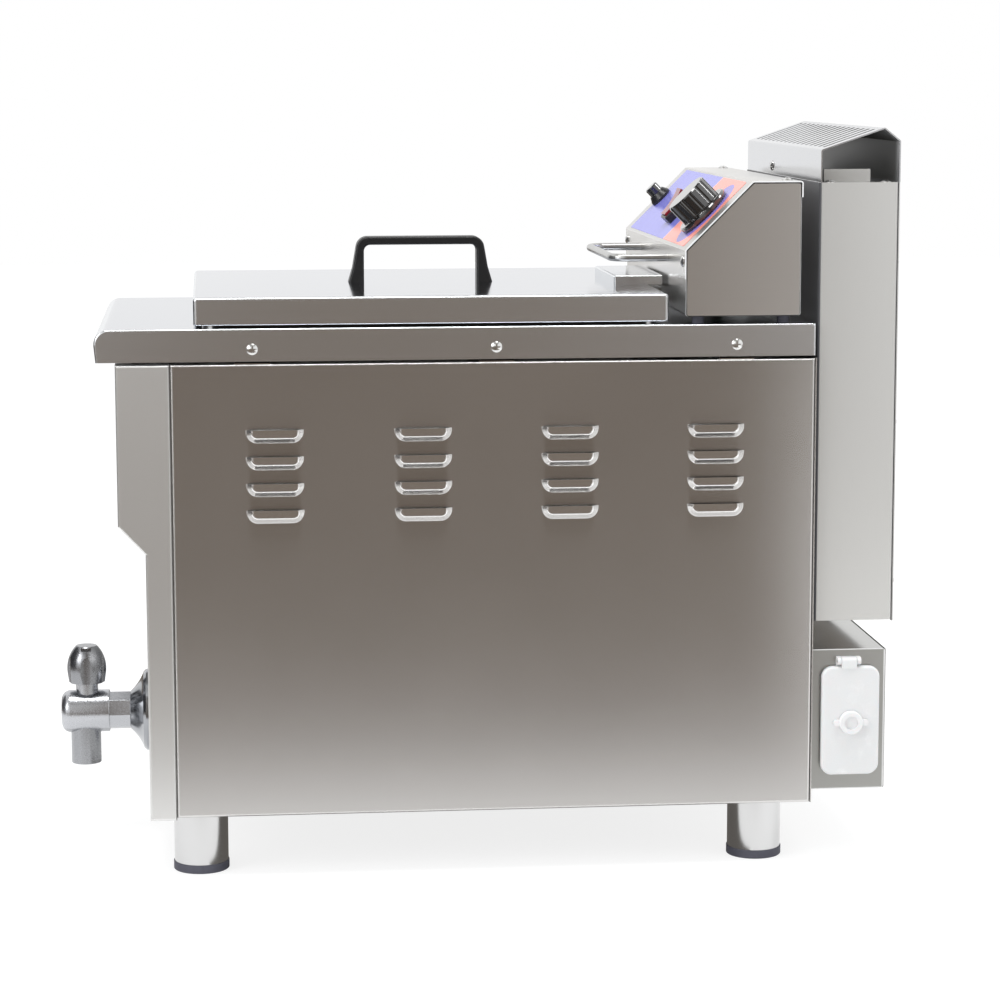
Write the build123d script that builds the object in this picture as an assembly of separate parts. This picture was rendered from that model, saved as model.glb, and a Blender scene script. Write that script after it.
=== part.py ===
from build123d import *
import os
from math import sqrt

os.makedirs("parts", exist_ok=True)

# Countertop gas deep fryer with a lift-off lid. Millimetres, +Z up, front towards -Y.
# The origin is on the floor, under the middle of the overall box.

# Cabinet and worktop
overall_length = 632.0
body_width = 312.0
foot_height = 47.0
cabinet_length = 476.0
cabinet_height = 337.5
sheet = 1.0
bend = 2.0
fine_edge = 0.8
panel_flange = 14.0
upstand_height = 18.0
upstand_width = 26.0
skirt_gap = 1.9
skirt_height = 24.0
worktop_overhang = 54.5
nose_radius = 11.8
nose_tuck = 1.2
skirt_edge = 1.6
front_upper_depth = 39.5
front_lower_depth = 19.8
front_step_top = 219.0
front_step_bottom = 198.0
front_drop = 2.0
front_flange = 12.0

# Louvres pressed outwards, four columns of four on each side
louvre_length = 41.5
louvre_height = 9.7
louvre_rise = 4.5
louvre_corner = 8.0
louvre_slope = 40.0
louvre_round = 2.2
louvre_foot = 1.5
louvre_columns = 4
louvre_rows = 4
louvre_pitch_along = 108.6
louvre_pitch_up = 19.75
louvre_first_along = 75.6
louvre_top_row = 289.3

# Feet and base tray
foot_radius = 20.3
foot_wall = 1.2
foot_in_from_side = 35.0
foot_front_along = 17.3
foot_rear_along = 439.5
foot_cap_height = 6.5
foot_cap_lip = 0.6
foot_plug_height = 8.0
foot_plug_slack = 0.1
tray_thickness = 1.2
tray_rim = 15.0
tray_vent_length = 44.0
tray_vent_width = 12.0
tray_vent_pitch = 60.0
tray_vents = 5
tray_vent_side = 78.0

# Oil tank
tank_half_width = 118.0
tank_front_along = 50.0
tank_rear_along = 318.0
tank_wall = 1.2
tank_corner = 26.0
tank_floor_front = 150.0
tank_floor_rise = 8.0
tank_floor_fillet = 12.0
tank_rim_thickness = 1.5
tank_rim_half_width = 146.0
tank_rim_front_along = 24.0
tank_rim_rear_along = 358.0
tank_rim_corner = 10.0
tank_cutout_slack = 0.8
drain_along = 84.0
drain_radius = 11.0
drain_bore = 9.0
drain_elbow = 30.0
drain_spigot = 8.0

# Combustion jacket, burner and flue duct
jacket_half_width = 138.0
jacket_front_along = 28.0
jacket_rear_along = 345.0
jacket_corner = 8.0
jacket_bottom = 95.0
duct_half_width = 100.0
duct_bottom = 272.0
duct_height = 56.0
duct_collar = 11.0
burner_height = 70.0
burner_tube_radius = 11.0
burner_cross_radius = 13.0
burner_tube_spread = 63.0
burner_tubes = 4
burner_front_along = 112.0
burner_cross_along = 335.0
burner_mouth_along = 443.0
burner_bell_radius = 17.0
burner_bell_length = 22.0
burner_wall = 2.0
port_length = 13.0
port_width = 3.0
port_pitch = 20.0
ports_per_tube = 9
burner_bracket_thickness = 2.0
burner_bracket_saddle = 8.0
burner_bracket_front_along = 145.0
burner_bracket_rear_along = 305.0

# Flue
flue_half_width = 150.0
flue_gap = 2.5
flue_depth = 60.5
flue_bottom = 138.4
flue_top = 466.5
flue_flange = 12.0
flue_cover_drop = 1.0
flue_tab_front = 5.5
flue_tab_length = 35.0
flue_tab_height = 9.5
cap_front_inset = 0.9
cap_wall_height = 24.0
cap_ridge_rise = 16.2
cap_ridge_along = 47.5
cap_rear_height = 30.5
cap_slots = 17
cap_slot_pitch = 16.8
cap_slot_width = 6.4
cap_slot_margin = 5.0

# Lid
lid_front_along = 17.6
lid_rear_along = 366.6
lid_half_width = 151.8
lid_height = 20.6
lid_lift = 0.3
lid_edge = 2.5
lid_hem = 10.0
hem_edge = 1.5
pocket_half_width = 57.5
pocket_front_along = 338.5
pocket_rear_along = 375.6
pocket_height = 7.4
pocket_edge = 1.5
handle_along = 193.5
handle_length = 112.0
handle_height = 35.3
handle_grip = 6.2
handle_depth = 18.0
handle_leg = 12.0
handle_lean = 7.6
handle_flare = 3.4
handle_flare_height = 11.5
handle_corner = 9.0
handle_inner_corner = 5.0
handle_round = 1.6

# Control box
box_front_along = 377.6
box_rear_along = 465.3
box_lift = 5.6
box_top = 468.1
box_bend_height = 418.0
box_lip_height = 396.5
box_seam = 0.3
plate_edge = 0.9
spacer_radius = 4.5
spacer_inset = 12.0
label_half_width = 138.0
label_margin = 2.2
label_thickness = 0.3
label_corner = 2.0

# Controls, placed on the sloped face by width and by distance up the slope
knob_across = 102.0
knob_up = 34.0
knob_skirt_radius = 22.0
knob_skirt_height = 4.0
knob_grip_radius = 17.2
knob_height = 21.0
knob_gap = 1.0
knob_flutes = 15
knob_flute_radius = 2.1
shaft_radius = 3.0
shaft_end_gap = 0.3
running_clearance = 0.05
thermostat_radius = 21.0
thermostat_depth = 27.0
thermostat_boss_radius = 5.0
rocker_across = 0.0
rocker_up = 32.0
rocker_bezel_width = 25.0
rocker_bezel_length = 31.0
rocker_bezel_height = 6.5
rocker_side_wall = 2.6
rocker_end_wall = 1.8
rocker_body_inset = 0.8
rocker_depth = 20.0
rocker_pocket_depth = 9.0
rocker_slack = 0.5
rocker_pivot_rise = 1.5
rocker_pin_radius = 1.6
rocker_pin_reach = 1.2
rocker_pin_end_gap = 0.3
rocker_tilt = 12.0
rocker_crown = 9.5
rocker_dish = 1.2
rocker_half_length = 12.6
rocker_top_half = 11.9
rocker_keel = 7.0
button_across = -127.0
button_up = 36.6
button_radius = 5.7
button_height = 13.5
button_collar_radius = 9.2
button_collar_height = 6.5
button_flange_height = 2.0
button_stem_depth = 8.0
button_body_radius = 8.2
button_body_depth = 14.0

# Basket hanger
hanger_half_width = 72.0
hanger_reach = 42.2
hanger_height = 407.5
hanger_rod = 3.0
hanger_corner = 12.0

# Thermostat probe in the tank
bracket_half_width = 25.0
bracket_thickness = 1.2
bracket_height = 8.0
bracket_upturn = 9.0
bracket_standoff = 4.0
bracket_depth = 118.0
probe_radius = 3.2
probe_length = 96.0
probe_across = 14.0
capillary_radius = 1.0
capillary_bend = 6.0
capillary_rise = 14.0

# Drain tap
tap_reach = 91.0
tap_height = 49.5
tap_barrel_radius = 16.6
tap_barrel_length = 37.5
tap_dome = 7.0
tap_hex_corner = 15.2
tap_hex_length = 16.5
tap_outlet_back = 18.5
tap_bonnet_back = 20.0
tap_outlet_radius = 11.7
tap_outlet_bore = 8.5
tap_outlet_drop = 41.0
tap_bonnet_radius = 8.6
tap_bonnet_rise = 26.0
tap_stem_radius = 4.0
tap_spigot_radius = 10.0
tap_spigot_length = 28.0
tap_bore = 8.0
escutcheon_radius = 32.0
escutcheon_rim = 7.0
escutcheon_lip = 4.9
escutcheon_step = 2.0
escutcheon_waist = 21.3
escutcheon_waist_back = 5.6
escutcheon_small = 15.0
tap_handle_rise = 23.5
tap_handle_top = 52.5
tap_handle_radius = 14.9
tap_handle_belly = 13.6
tap_handle_belly_at = 43.5
tap_handle_top_radius = 9.0
tap_handle_wide_at = 30.5
tap_handle_lobes = 5
tap_handle_scallop = 9.0
tap_handle_scallop_out = 22.2
tap_handle_wall = 1.6
tap_handle_notch = 8.0
tap_handle_notch_in = 6.0

# Rear box, battery case and gas parts
rear_box_near = 150.0
rear_box_far = -100.0
rear_box_depth = 57.2
rear_box_bottom = 8.6
rear_box_top = 116.5
rear_box_flange = 20.0
battery_along = 29.3
battery_height = 62.3
case_width = 40.0
case_tall = 72.0
case_depth = 37.5
case_wall = 1.5
case_rim = 1.5
cover_width = 44.3
cover_tall = 83.3
cover_thickness = 4.5
cover_gap = 0.3
cover_corner = 8.5
cover_edge = 2.0
hinge_length = 18.0
hinge_ear = 3.0
hinge_rise = 45.8
hinge_shift = -1.5
hinge_radius = 2.8
hinge_pin_radius = 1.2
hinge_slack = 0.3
latch_radius = 9.0
latch_height = 3.8
latch_recess = 5.2
latch_recess_depth = 2.2
latch_wing = 13.4
latch_wing_width = 4.6
latch_wing_height = 2.7
latch_edge = 1.0
latch_shank_radius = 4.0
latch_shank_length = 9.0
latch_drop = 1.0
latch_lift = 0.4
contact_size = 16.0
contact_thickness = 0.6
valve_far = -80.0
valve_near = -36.0
valve_depth = 38.0
valve_tall = 34.0
solenoid_radius = 14.0
solenoid_height = 26.0
inlet_radius = 10.4
inlet_bore = 7.0
inlet_end = -142.0
inlet_nut = 8.0
inlet_nut_corner = 15.0
inlet_hole_slack = 0.4
gas_pipe_radius = 6.0
gas_pipe_bore = 4.0
gas_pipe_bend = 12.0
gas_pipe_in = 20.0
gas_hole_radius = 9.0
injector_length = 14.0
injector_radius = 8.0
injector_base_radius = 6.4
injector_tip_radius = 3.0
injector_gap = 4.0
igniter_near = 86.0
igniter_far = 40.0
igniter_depth = 36.0
igniter_bottom = 33.0
igniter_tall = 50.0
spark_across = 63.0
spark_height = 53.0
spark_radius = 4.0
spark_flange_radius = 7.0
spark_flange = 3.0
spark_length = 30.0
spark_wire_radius = 1.0
spark_wire_reach = 12.0
spark_wire_rise = 22.0
lead_radius = 2.5
lead_hole_radius = 4.0

# Domed screws with a cross recess, and where each set sits
head_radius = 4.1
head_height = 2.0
head_rim = 0.4
recess_length = 4.6
recess_width = 1.1
recess_depth = 1.0
shank_radius = 1.9
shank_length = 4.5
shank_slack = 0.1
skirt_screw_first = 60.0
skirt_screw_pitch = 178.5
skirt_screws = 3
skirt_screw_height = 348.3
flue_screw_across = 141.0
flue_screw_low = 167.2
flue_screw_pitch = 120.4
flue_screw_rows = 3
cap_screw_across = -41.0
cap_screw_height = 473.2
cap_base_screw_in = 6.0
cap_base_screw_front = 9.0
cap_base_screw_rear = 9.0
box_screw_across = 146.0
box_screw_height = 409.0
box_top_screw_across = 138.0
box_top_screw_in = 9.0
rear_screw_in = 10.0
rear_screw_low = 20.9
rear_screw_high = 100.2

# Positions worked out from the driving dimensions
half_width = body_width / 2
cabinet_front = tap_reach - overall_length / 2
cabinet_rear = cabinet_front + cabinet_length
cabinet_top = foot_height + cabinet_height
skirt_bottom = cabinet_top + skirt_gap
worktop_top = skirt_bottom + skirt_height
worktop_front = cabinet_front - worktop_overhang
worktop_under = worktop_top - sheet
rear_panel_back = cabinet_rear + sheet
flue_front = cabinet_rear + flue_gap
flue_back = flue_front + flue_depth
tank_rim_top = worktop_top + tank_rim_thickness
lid_bottom = tank_rim_top + lid_lift
lid_top = lid_bottom + lid_height
box_front = cabinet_front + box_front_along
box_rear = cabinet_front + box_rear_along
box_bottom = worktop_top + box_lift
tap_axis_height = foot_height + tap_height
tap_tip = -overall_length / 2
tap_outlet_y = tap_tip + tap_outlet_back
tap_stem_y = tap_tip + tap_bonnet_back
tray_bottom = foot_height + sheet
tray_top = tray_bottom + tray_thickness
burner_axis = foot_height + burner_height
slope_length = (box_top - box_bend_height) * sqrt(2)
slope = Plane(origin=(0, box_front, foot_height + box_bend_height), x_dir=(1, 0, 0), z_dir=(0, -1, 1))
battery_y = rear_panel_back + battery_along
battery_z = foot_height + battery_height
hinge_x = rear_box_near + case_rim + cover_gap + hinge_radius
hinge_y = battery_y + hinge_shift
hinge_z = battery_z + hinge_rise


def along(distance):
    # A distance back from the cabinet's front edge, as a Y position.
    return cabinet_front + distance


def up(height):
    # A height above the cabinet's bottom edge, as a Z position.
    return foot_height + height


def block(x_span, y_span, z_span):
    # A box between two limits on each axis.
    middle = [(low + high) / 2 for low, high in (x_span, y_span, z_span)]
    size = [high - low for low, high in (x_span, y_span, z_span)]
    return Pos(*middle) * Box(*size)


def across(face, low, high):
    # A face drawn in the length and height plane, carried over the width.
    return extrude(Plane.YZ.offset(low) * face, amount=high - low)


def outline(*points):
    # A closed straight-sided face.
    return make_face(Polyline(*points, close=True))


def folded(*points, radius=bend):
    # The section of a sheet folded along the points, which lie on its outer side.
    return make_face(offset(FilletPolyline(*points, radius=radius), amount=sheet, side=Side.RIGHT))


def post(x, y, low, high, radius):
    # An upright round bar.
    return Pos(x, y, low) * Cylinder(radius, high - low, align=(Align.CENTER, Align.CENTER, Align.MIN))


def bar(axis_plane, length, radius):
    # A round bar that starts on a plane and runs along its normal.
    return axis_plane * Cylinder(radius, length, align=(Align.CENTER, Align.CENTER, Align.MIN))


def facing(x, y, z, direction):
    # A plane at a point, looking along a direction.
    return Plane(origin=(x, y, z), z_dir=direction)


def tube_along(path, radius, bore):
    # A round tube swept along straight runs and arcs.
    start = Plane(origin=path @ 0, z_dir=path % 0)
    return sweep(start * (Circle(radius) - Circle(bore)), path=path)


def rod_along(path, radius):
    # A solid round rod swept along straight runs and arcs.
    start = Plane(origin=path @ 0, z_dir=path % 0)
    return sweep(start * Circle(radius), path=path)


def screw(seat):
    # A domed head on the seat plane, with a cross recess and its shank going in behind it.
    crown = TangentArc((0, head_height), (head_radius, head_rim), tangent=(1, 0))
    edge = Polyline(crown @ 1, (head_radius, 0), (0, 0), crown @ 0)
    head = revolve(Plane.XZ * make_face([crown, edge]), Axis.Z)
    slot = Pos(0, 0, head_height) * Box(recess_length, recess_width, 2 * recess_depth)
    shank = Cylinder(shank_radius, shank_length, align=(Align.CENTER, Align.CENTER, Align.MAX))
    return seat * (head + shank - [slot, Rot(Z=90) * slot])


def screw_hole(seat):
    # Room for a screw's shank through the sheets behind its head.
    return seat * Cylinder(shank_radius + shank_slack, 2 * shank_length)


def group(pieces):
    # Separate solids kept together in one node.
    return Compound([solid for piece in pieces for solid in piece.solids()])


def write(name, piece):
    export_step(piece, f"parts/{name}.step")


def skirt_seats(side):
    rows = [along(skirt_screw_first + number * skirt_screw_pitch) for number in range(skirt_screws)]
    return [facing(side * half_width, y, up(skirt_screw_height), (side, 0, 0)) for y in rows]


def flue_seats():
    heights = [up(flue_screw_low + row * flue_screw_pitch) for row in range(flue_screw_rows)]
    columns = (-flue_screw_across, flue_screw_across)
    return [facing(x, flue_back, z, (0, 1, 0)) for z in heights for x in columns]


def cap_front_seat():
    return facing(cap_screw_across, flue_front + cap_front_inset, up(cap_screw_height), (0, -1, 0))


def cap_base_seats():
    x = flue_half_width - cap_base_screw_in
    rows = (flue_front + cap_base_screw_front, flue_back - cap_base_screw_rear)
    return [facing(side * x, y, up(flue_top), (0, 0, 1)) for side in (-1, 1) for y in rows]


def box_front_seats():
    return [facing(side * box_screw_across, box_front, up(box_screw_height), (0, -1, 0)) for side in (-1, 1)]


def box_top_seats():
    y = box_rear - box_top_screw_in
    return [facing(side * box_top_screw_across, y, up(box_top), (0, 0, 1)) for side in (-1, 1)]


def rear_box_seats():
    back = rear_panel_back + rear_box_depth
    columns = (rear_box_near - rear_screw_in, rear_box_far + rear_screw_in)
    return [facing(x, back, up(z), (0, 1, 0)) for x in columns for z in (rear_screw_low, rear_screw_high)]


def louvre_boss(inset):
    # A tapered, round-cornered boss twice as high as a louvre, with a soft edge round its face.
    length = louvre_length - 2 * inset
    height = louvre_height - inset
    plan = RectangleRounded(length, 2 * height, louvre_corner - inset)
    boss = extrude(Plane.YZ * plan, amount=louvre_rise - inset, taper=louvre_slope)
    return fillet(boss.faces().sort_by(Axis.X)[-1].edges(), louvre_round - inset)


def louvre_shell():
    # The boss drawn out of a patch of panel with a soft foot, halved: its flat upper side is the mouth.
    reach = louvre_length / 2 + louvre_corner
    patch = block((-sheet, 0), (-reach, reach), (-louvre_height - louvre_corner, louvre_height + louvre_corner))
    shell = patch + louvre_boss(0)
    face = shell.faces().filter_by(Axis.X).sort_by(Axis.X)[1]
    shell = fillet(face.inner_wires()[0].edges(), louvre_foot)
    return split(shell, bisect_by=Plane.XY, keep=Keep.BOTTOM)


def louvre_places():
    for column in range(louvre_columns):
        for row in range(louvre_rows):
            y = along(louvre_first_along + column * louvre_pitch_along)
            yield Pos(half_width, y, up(louvre_top_row - row * louvre_pitch_up))


def side_panel():
    # A shallow pan with folded edges, louvres, and upstanding tabs behind the worktop's skirt.
    inner = half_width - sheet
    open_side = half_width - panel_flange
    panel = block((open_side, half_width), (cabinet_front, cabinet_rear), (foot_height, cabinet_top))
    panel = fillet(panel.faces().sort_by(Axis.X)[-1].edges(), bend)
    panel -= block(
        (open_side, inner),
        (cabinet_front + sheet, cabinet_rear - sheet),
        (foot_height + sheet, cabinet_top - sheet),
    )
    for seat in skirt_seats(1):
        tab_span = (seat.origin.Y - upstand_width / 2, seat.origin.Y + upstand_width / 2)
        panel += block((inner - sheet, inner), tab_span, (cabinet_top - sheet, cabinet_top + upstand_height))
    shell = louvre_shell()
    hollow = split(louvre_boss(sheet), bisect_by=Plane.XY, keep=Keep.BOTTOM)
    mouth = extrude(hollow.faces().sort_by(Axis.X)[0], amount=sheet)
    panel += [place * shell for place in louvre_places()]
    panel -= [place * piece for place in louvre_places() for piece in (hollow, mouth)]
    panel -= [screw_hole(seat) for seat in skirt_seats(1)]
    return panel


def front_panel():
    # One stepped cover that wraps the front and both front corners, flanged behind.
    bottom = foot_height - front_drop
    upper = cabinet_front - front_upper_depth
    lower = cabinet_front - front_lower_depth
    skin = sheet * (sqrt(2) - 1)

    def step(inset, top, base):
        return outline(
            (upper + inset, top),
            (upper + inset, up(front_step_top) + inset * skin),
            (lower + inset, up(front_step_bottom) + inset * skin),
            (lower + inset, base),
            (cabinet_front - inset, base),
            (cabinet_front - inset, top),
        )

    panel = across(step(0, cabinet_top, bottom), -half_width, half_width)
    panel = fillet(panel.faces().filter_by(Axis.X).edges(), bend)
    inner = half_width - sheet
    panel -= across(step(sheet, cabinet_top - sheet, bottom + sheet), -inner, inner)
    mouth = half_width - front_flange
    panel -= block((-mouth, mouth), (cabinet_front - sheet, cabinet_front), (bottom, cabinet_top))
    panel -= block((-mouth, mouth), (upper + front_flange, cabinet_front), (cabinet_top - sheet, cabinet_top))
    panel -= block((-mouth, mouth), (lower + front_flange, cabinet_front), (bottom, bottom + sheet))
    panel -= Pos(0, lower, tap_axis_height) * Rot(X=90) * Cylinder(tap_spigot_radius + shank_slack, 2 * bend)
    return panel


def rear_panel():
    panel = block((-half_width, half_width), (cabinet_rear, rear_panel_back), (foot_height, cabinet_top))
    panel -= block(
        (-duct_half_width, duct_half_width),
        (cabinet_rear, rear_panel_back),
        (up(duct_bottom), up(duct_bottom + duct_height)),
    )
    panel -= bar(facing(0, cabinet_rear, burner_axis, (0, 1, 0)), sheet, gas_hole_radius)
    lead_hole = facing(spark_across, cabinet_rear, up(spark_height), (0, 1, 0))
    return panel - bar(lead_hole, sheet, lead_hole_radius)


def worktop():
    # A shallow pan with a rolled front nose, open below, with the tank's cut-out.
    def section(inset, base):
        front = worktop_front + inset
        path = FilletPolyline(
            (front + nose_tuck, base),
            (front, worktop_top - nose_radius),
            (front, worktop_top - inset),
            (cabinet_rear - inset, worktop_top - inset),
            (cabinet_rear - inset, base),
            radius=[nose_radius, nose_radius - inset - sheet, bend],
        )
        return make_face([path, Line(path @ 1, path @ 0)])

    top = across(section(0, skirt_bottom), -half_width, half_width)
    rim = top.faces().filter_by(Axis.X).edges().filter_by(lambda edge: edge.center().Z > skirt_bottom + sheet)
    top = fillet(rim, skirt_edge)
    top -= across(section(sheet, skirt_bottom), sheet - half_width, half_width - sheet)
    opening = RectangleRounded(
        2 * (tank_half_width + tank_wall + tank_cutout_slack),
        tank_rear_along - tank_front_along + 2 * (tank_wall + tank_cutout_slack),
        tank_corner + tank_wall + tank_cutout_slack,
    )
    middle = along((tank_front_along + tank_rear_along) / 2)
    top -= extrude(Pos(0, middle, worktop_under) * opening, amount=sheet)
    top -= [screw_hole(seat) for side in (-1, 1) for seat in skirt_seats(side)]
    return top


def base_tray():
    # A tray with an upturned rim and slots that let air up to the burner.
    inner = half_width - sheet
    y_span = (cabinet_front + sheet, cabinet_rear - sheet)
    tray = block((-inner, inner), y_span, (tray_bottom, tray_bottom + tray_rim))
    tray -= block(
        (tray_thickness - inner, inner - tray_thickness),
        (y_span[0] + tray_thickness, y_span[1] - tray_thickness),
        (tray_top, tray_bottom + tray_rim),
    )
    slot = extrude(SlotOverall(tray_vent_length, tray_vent_width), amount=2 * tray_thickness)
    first = along(cabinet_length / 2) - (tray_vents - 1) * tray_vent_pitch / 2
    tray -= [
        Pos(side * tray_vent_side, first + number * tray_vent_pitch, tray_bottom) * slot
        for side in (-1, 1)
        for number in range(tray_vents)
    ]
    return tray


def foot_places():
    x = half_width - foot_in_from_side
    for end, y in (("front", along(foot_front_along)), ("rear", along(foot_rear_along))):
        for side, place in (("right", x), ("left", -x)):
            yield f"{end}_{side}", place, y


def foot_tube(x, y):
    return post(x, y, foot_cap_height, tray_bottom, foot_radius) - post(
        x, y, foot_cap_height, tray_bottom, foot_radius - foot_wall
    )


def foot_cap(x, y):
    # A rubber cap whose plug sits in the tube.
    cap = post(x, y, 0, foot_cap_height, foot_radius + foot_cap_lip)
    cap = chamfer(cap.edges().group_by(Axis.Z)[0], foot_cap_lip)
    plug = foot_radius - foot_wall - foot_plug_slack
    return cap + post(x, y, foot_cap_height, foot_cap_height + foot_plug_height, plug)


def tank_form(grow):
    # The tank's inside, or its outside when grown by the wall, with a floor that falls to the drain.
    length = tank_rear_along - tank_front_along + 2 * grow
    plan = RectangleRounded(2 * (tank_half_width + grow), length, tank_corner + grow)
    floor_z = up(tank_floor_front) - grow
    middle = along((tank_front_along + tank_rear_along) / 2)
    form = extrude(Pos(0, middle, floor_z) * plan, amount=worktop_top - floor_z)
    fall = Plane(
        origin=(0, along(tank_front_along), floor_z),
        x_dir=(1, 0, 0),
        z_dir=(0, -tank_floor_rise, tank_rear_along - tank_front_along),
    )
    form = split(form, bisect_by=fall, keep=Keep.TOP)
    floor_face = form.faces().sort_by(Axis.Z)[0]
    return fillet(floor_face.edges(), tank_floor_fillet + grow)


def oil_tank():
    # A deep tank whose rim lies on the worktop and carries the lid.
    rim_length = tank_rim_rear_along - tank_rim_front_along
    rim_middle = along((tank_rim_front_along + tank_rim_rear_along) / 2)
    plan = RectangleRounded(2 * tank_rim_half_width, rim_length, tank_rim_corner)
    rim = extrude(Pos(0, rim_middle, worktop_top) * plan, amount=tank_rim_thickness)
    inside = tank_form(0)
    mouth = extrude(inside.faces().sort_by(Axis.Z)[-1], amount=tank_rim_thickness)
    y = along(drain_along)
    spigot_bottom = up(tank_floor_front) - drain_spigot
    tank = tank_form(tank_wall) + rim
    tank += post(0, y, spigot_bottom, up(tank_floor_front) + tank_wall, drain_radius)
    return tank - inside - mouth - post(0, y, spigot_bottom, worktop_top, drain_bore)


def drain_pipe():
    # From the tank's spigot down and forward to the tap.
    y = along(drain_along)
    tap_end = tap_tip + tap_barrel_length + tap_hex_length + tap_spigot_length
    path = FilletPolyline(
        (0, y, up(tank_floor_front) - drain_spigot),
        (0, y, tap_axis_height),
        (0, tap_end, tap_axis_height),
        radius=drain_elbow,
    )
    return tube_along(path, drain_radius, drain_bore)


def combustion_jacket():
    # A rectangular sleeve round the tank that leads the hot gas to the flue.
    length = jacket_rear_along - jacket_front_along
    middle = along((jacket_front_along + jacket_rear_along) / 2)
    outer = RectangleRounded(2 * jacket_half_width, length, jacket_corner)
    inner = RectangleRounded(2 * (jacket_half_width - sheet), length - 2 * sheet, jacket_corner - sheet)
    low = up(jacket_bottom)
    jacket = extrude(Pos(0, middle, low) * (outer - inner), amount=worktop_under - low)
    inside = duct_half_width - 2 * sheet
    return jacket - block(
        (-inside, inside),
        (along(jacket_rear_along) - 2 * sheet, along(jacket_rear_along)),
        (up(duct_bottom) + 2 * sheet, up(duct_bottom + duct_height) - 2 * sheet),
    )


def flue_duct():
    # A square duct through the rear panel, with a collar that spaces the flue off the cabinet.
    z_span = (up(duct_bottom), up(duct_bottom + duct_height))
    y_span = (along(jacket_rear_along), flue_front)
    duct = block((-duct_half_width, duct_half_width), y_span, z_span)
    collar_half = duct_half_width + duct_collar
    duct += block(
        (-collar_half, collar_half),
        (rear_panel_back, flue_front),
        (z_span[0] - duct_collar, z_span[1] + duct_collar / 2),
    )
    inside = duct_half_width - sheet
    return duct - block((-inside, inside), y_span, (z_span[0] + sheet, z_span[1] - sheet))


def burner_tube_places():
    middle = (burner_tubes - 1) / 2
    return [(number - middle) * burner_tube_spread for number in range(burner_tubes)]


def burner():
    # Four ported tubes on a cross tube, fed by a mixing tube with a bell mouth at the rear.
    cross_y = along(burner_cross_along)
    mouth_y = along(burner_mouth_along)
    front_y = along(burner_front_along)
    reach = burner_tube_places()[-1] + burner_cross_radius
    body = bar(facing(-reach, cross_y, burner_axis, (1, 0, 0)), 2 * reach, burner_cross_radius)
    hollow = bar(
        facing(burner_wall - reach, cross_y, burner_axis, (1, 0, 0)),
        2 * (reach - burner_wall),
        burner_cross_radius - burner_wall,
    )
    mixing_start = facing(0, cross_y, burner_axis, (0, 1, 0))
    body += bar(mixing_start, mouth_y - cross_y, burner_tube_radius)
    bell = outline(
        (mouth_y - burner_bell_length, burner_axis),
        (mouth_y - burner_bell_length, burner_axis + burner_tube_radius),
        (mouth_y, burner_axis + burner_bell_radius),
        (mouth_y, burner_axis),
    )
    throat = outline(
        (mouth_y - burner_bell_length, burner_axis),
        (mouth_y - burner_bell_length, burner_axis + burner_tube_radius - burner_wall),
        (mouth_y, burner_axis + burner_bell_radius - burner_wall),
        (mouth_y, burner_axis),
    )
    axis = Axis((0, 0, burner_axis), (0, 1, 0))
    body += revolve(Plane.YZ * bell, axis)
    hollow += bar(mixing_start, mouth_y - cross_y, burner_tube_radius - burner_wall)
    hollow += revolve(Plane.YZ * throat, axis)
    slots = []
    first_port = (front_y + cross_y - (ports_per_tube - 1) * port_pitch) / 2
    for x in burner_tube_places():
        body += bar(facing(x, cross_y, burner_axis, (0, -1, 0)), cross_y - front_y, burner_tube_radius)
        hollow += bar(
            facing(x, cross_y, burner_axis, (0, -1, 0)),
            cross_y - front_y - burner_wall,
            burner_tube_radius - burner_wall,
        )
        for number in range(ports_per_tube):
            y = first_port + number * port_pitch
            slots.append(
                block(
                    (x - port_length / 2, x + port_length / 2),
                    (y - port_width / 2, y + port_width / 2),
                    (burner_axis, burner_axis + burner_tube_radius),
                )
            )
    return body - hollow - slots


def burner_bracket(distance):
    # A plate on the base tray with a saddle for each burner tube.
    y = along(distance)
    reach = burner_tube_places()[-1] + burner_tube_radius + burner_wall
    plate = block(
        (-reach, reach),
        (y - burner_bracket_thickness / 2, y + burner_bracket_thickness / 2),
        (tray_top, burner_axis - burner_tube_radius + burner_bracket_saddle),
    )
    saddles = [facing(x, y - burner_bracket_thickness, burner_axis, (0, 1, 0)) for x in burner_tube_places()]
    return plate - [bar(saddle, 2 * burner_bracket_thickness, burner_tube_radius) for saddle in saddles]


def gas_valve():
    # A valve block on the rear box's front wall, with its solenoid on top.
    front = rear_panel_back + sheet
    middle = (valve_far + valve_near) / 2
    body = block(
        (valve_far, valve_near),
        (front, front + valve_depth),
        (burner_axis - valve_tall / 2, burner_axis + valve_tall / 2),
    )
    body = fillet(body.edges().filter_by(Axis.Z), 2 * bend)
    top = burner_axis + valve_tall / 2
    return body + post(middle, front + valve_depth / 2, top, top + solenoid_height, solenoid_radius)


def gas_inlet():
    # A plain nipple with a lock nut against the box's wall, for the supply hose.
    y = rear_panel_back + sheet + valve_depth / 2
    start = facing(valve_far, y, burner_axis, (-1, 0, 0))
    nipple = bar(start, valve_far - inlet_end, inlet_radius)
    nut_start = facing(rear_box_far, y, burner_axis, (-1, 0, 0))
    nut = extrude(nut_start * RegularPolygon(inlet_nut_corner, 6), amount=inlet_nut)
    return nipple + nut - bar(start, valve_far - inlet_end, inlet_bore)


def gas_pipe():
    # From the valve to the injector behind the burner's mouth.
    y = rear_panel_back + sheet + gas_pipe_in
    end = along(burner_mouth_along) + injector_gap + injector_length
    path = FilletPolyline(
        (valve_near, y, burner_axis),
        (0, y, burner_axis),
        (0, end, burner_axis),
        radius=gas_pipe_bend,
    )
    return tube_along(path, gas_pipe_radius, gas_pipe_bore)


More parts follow.
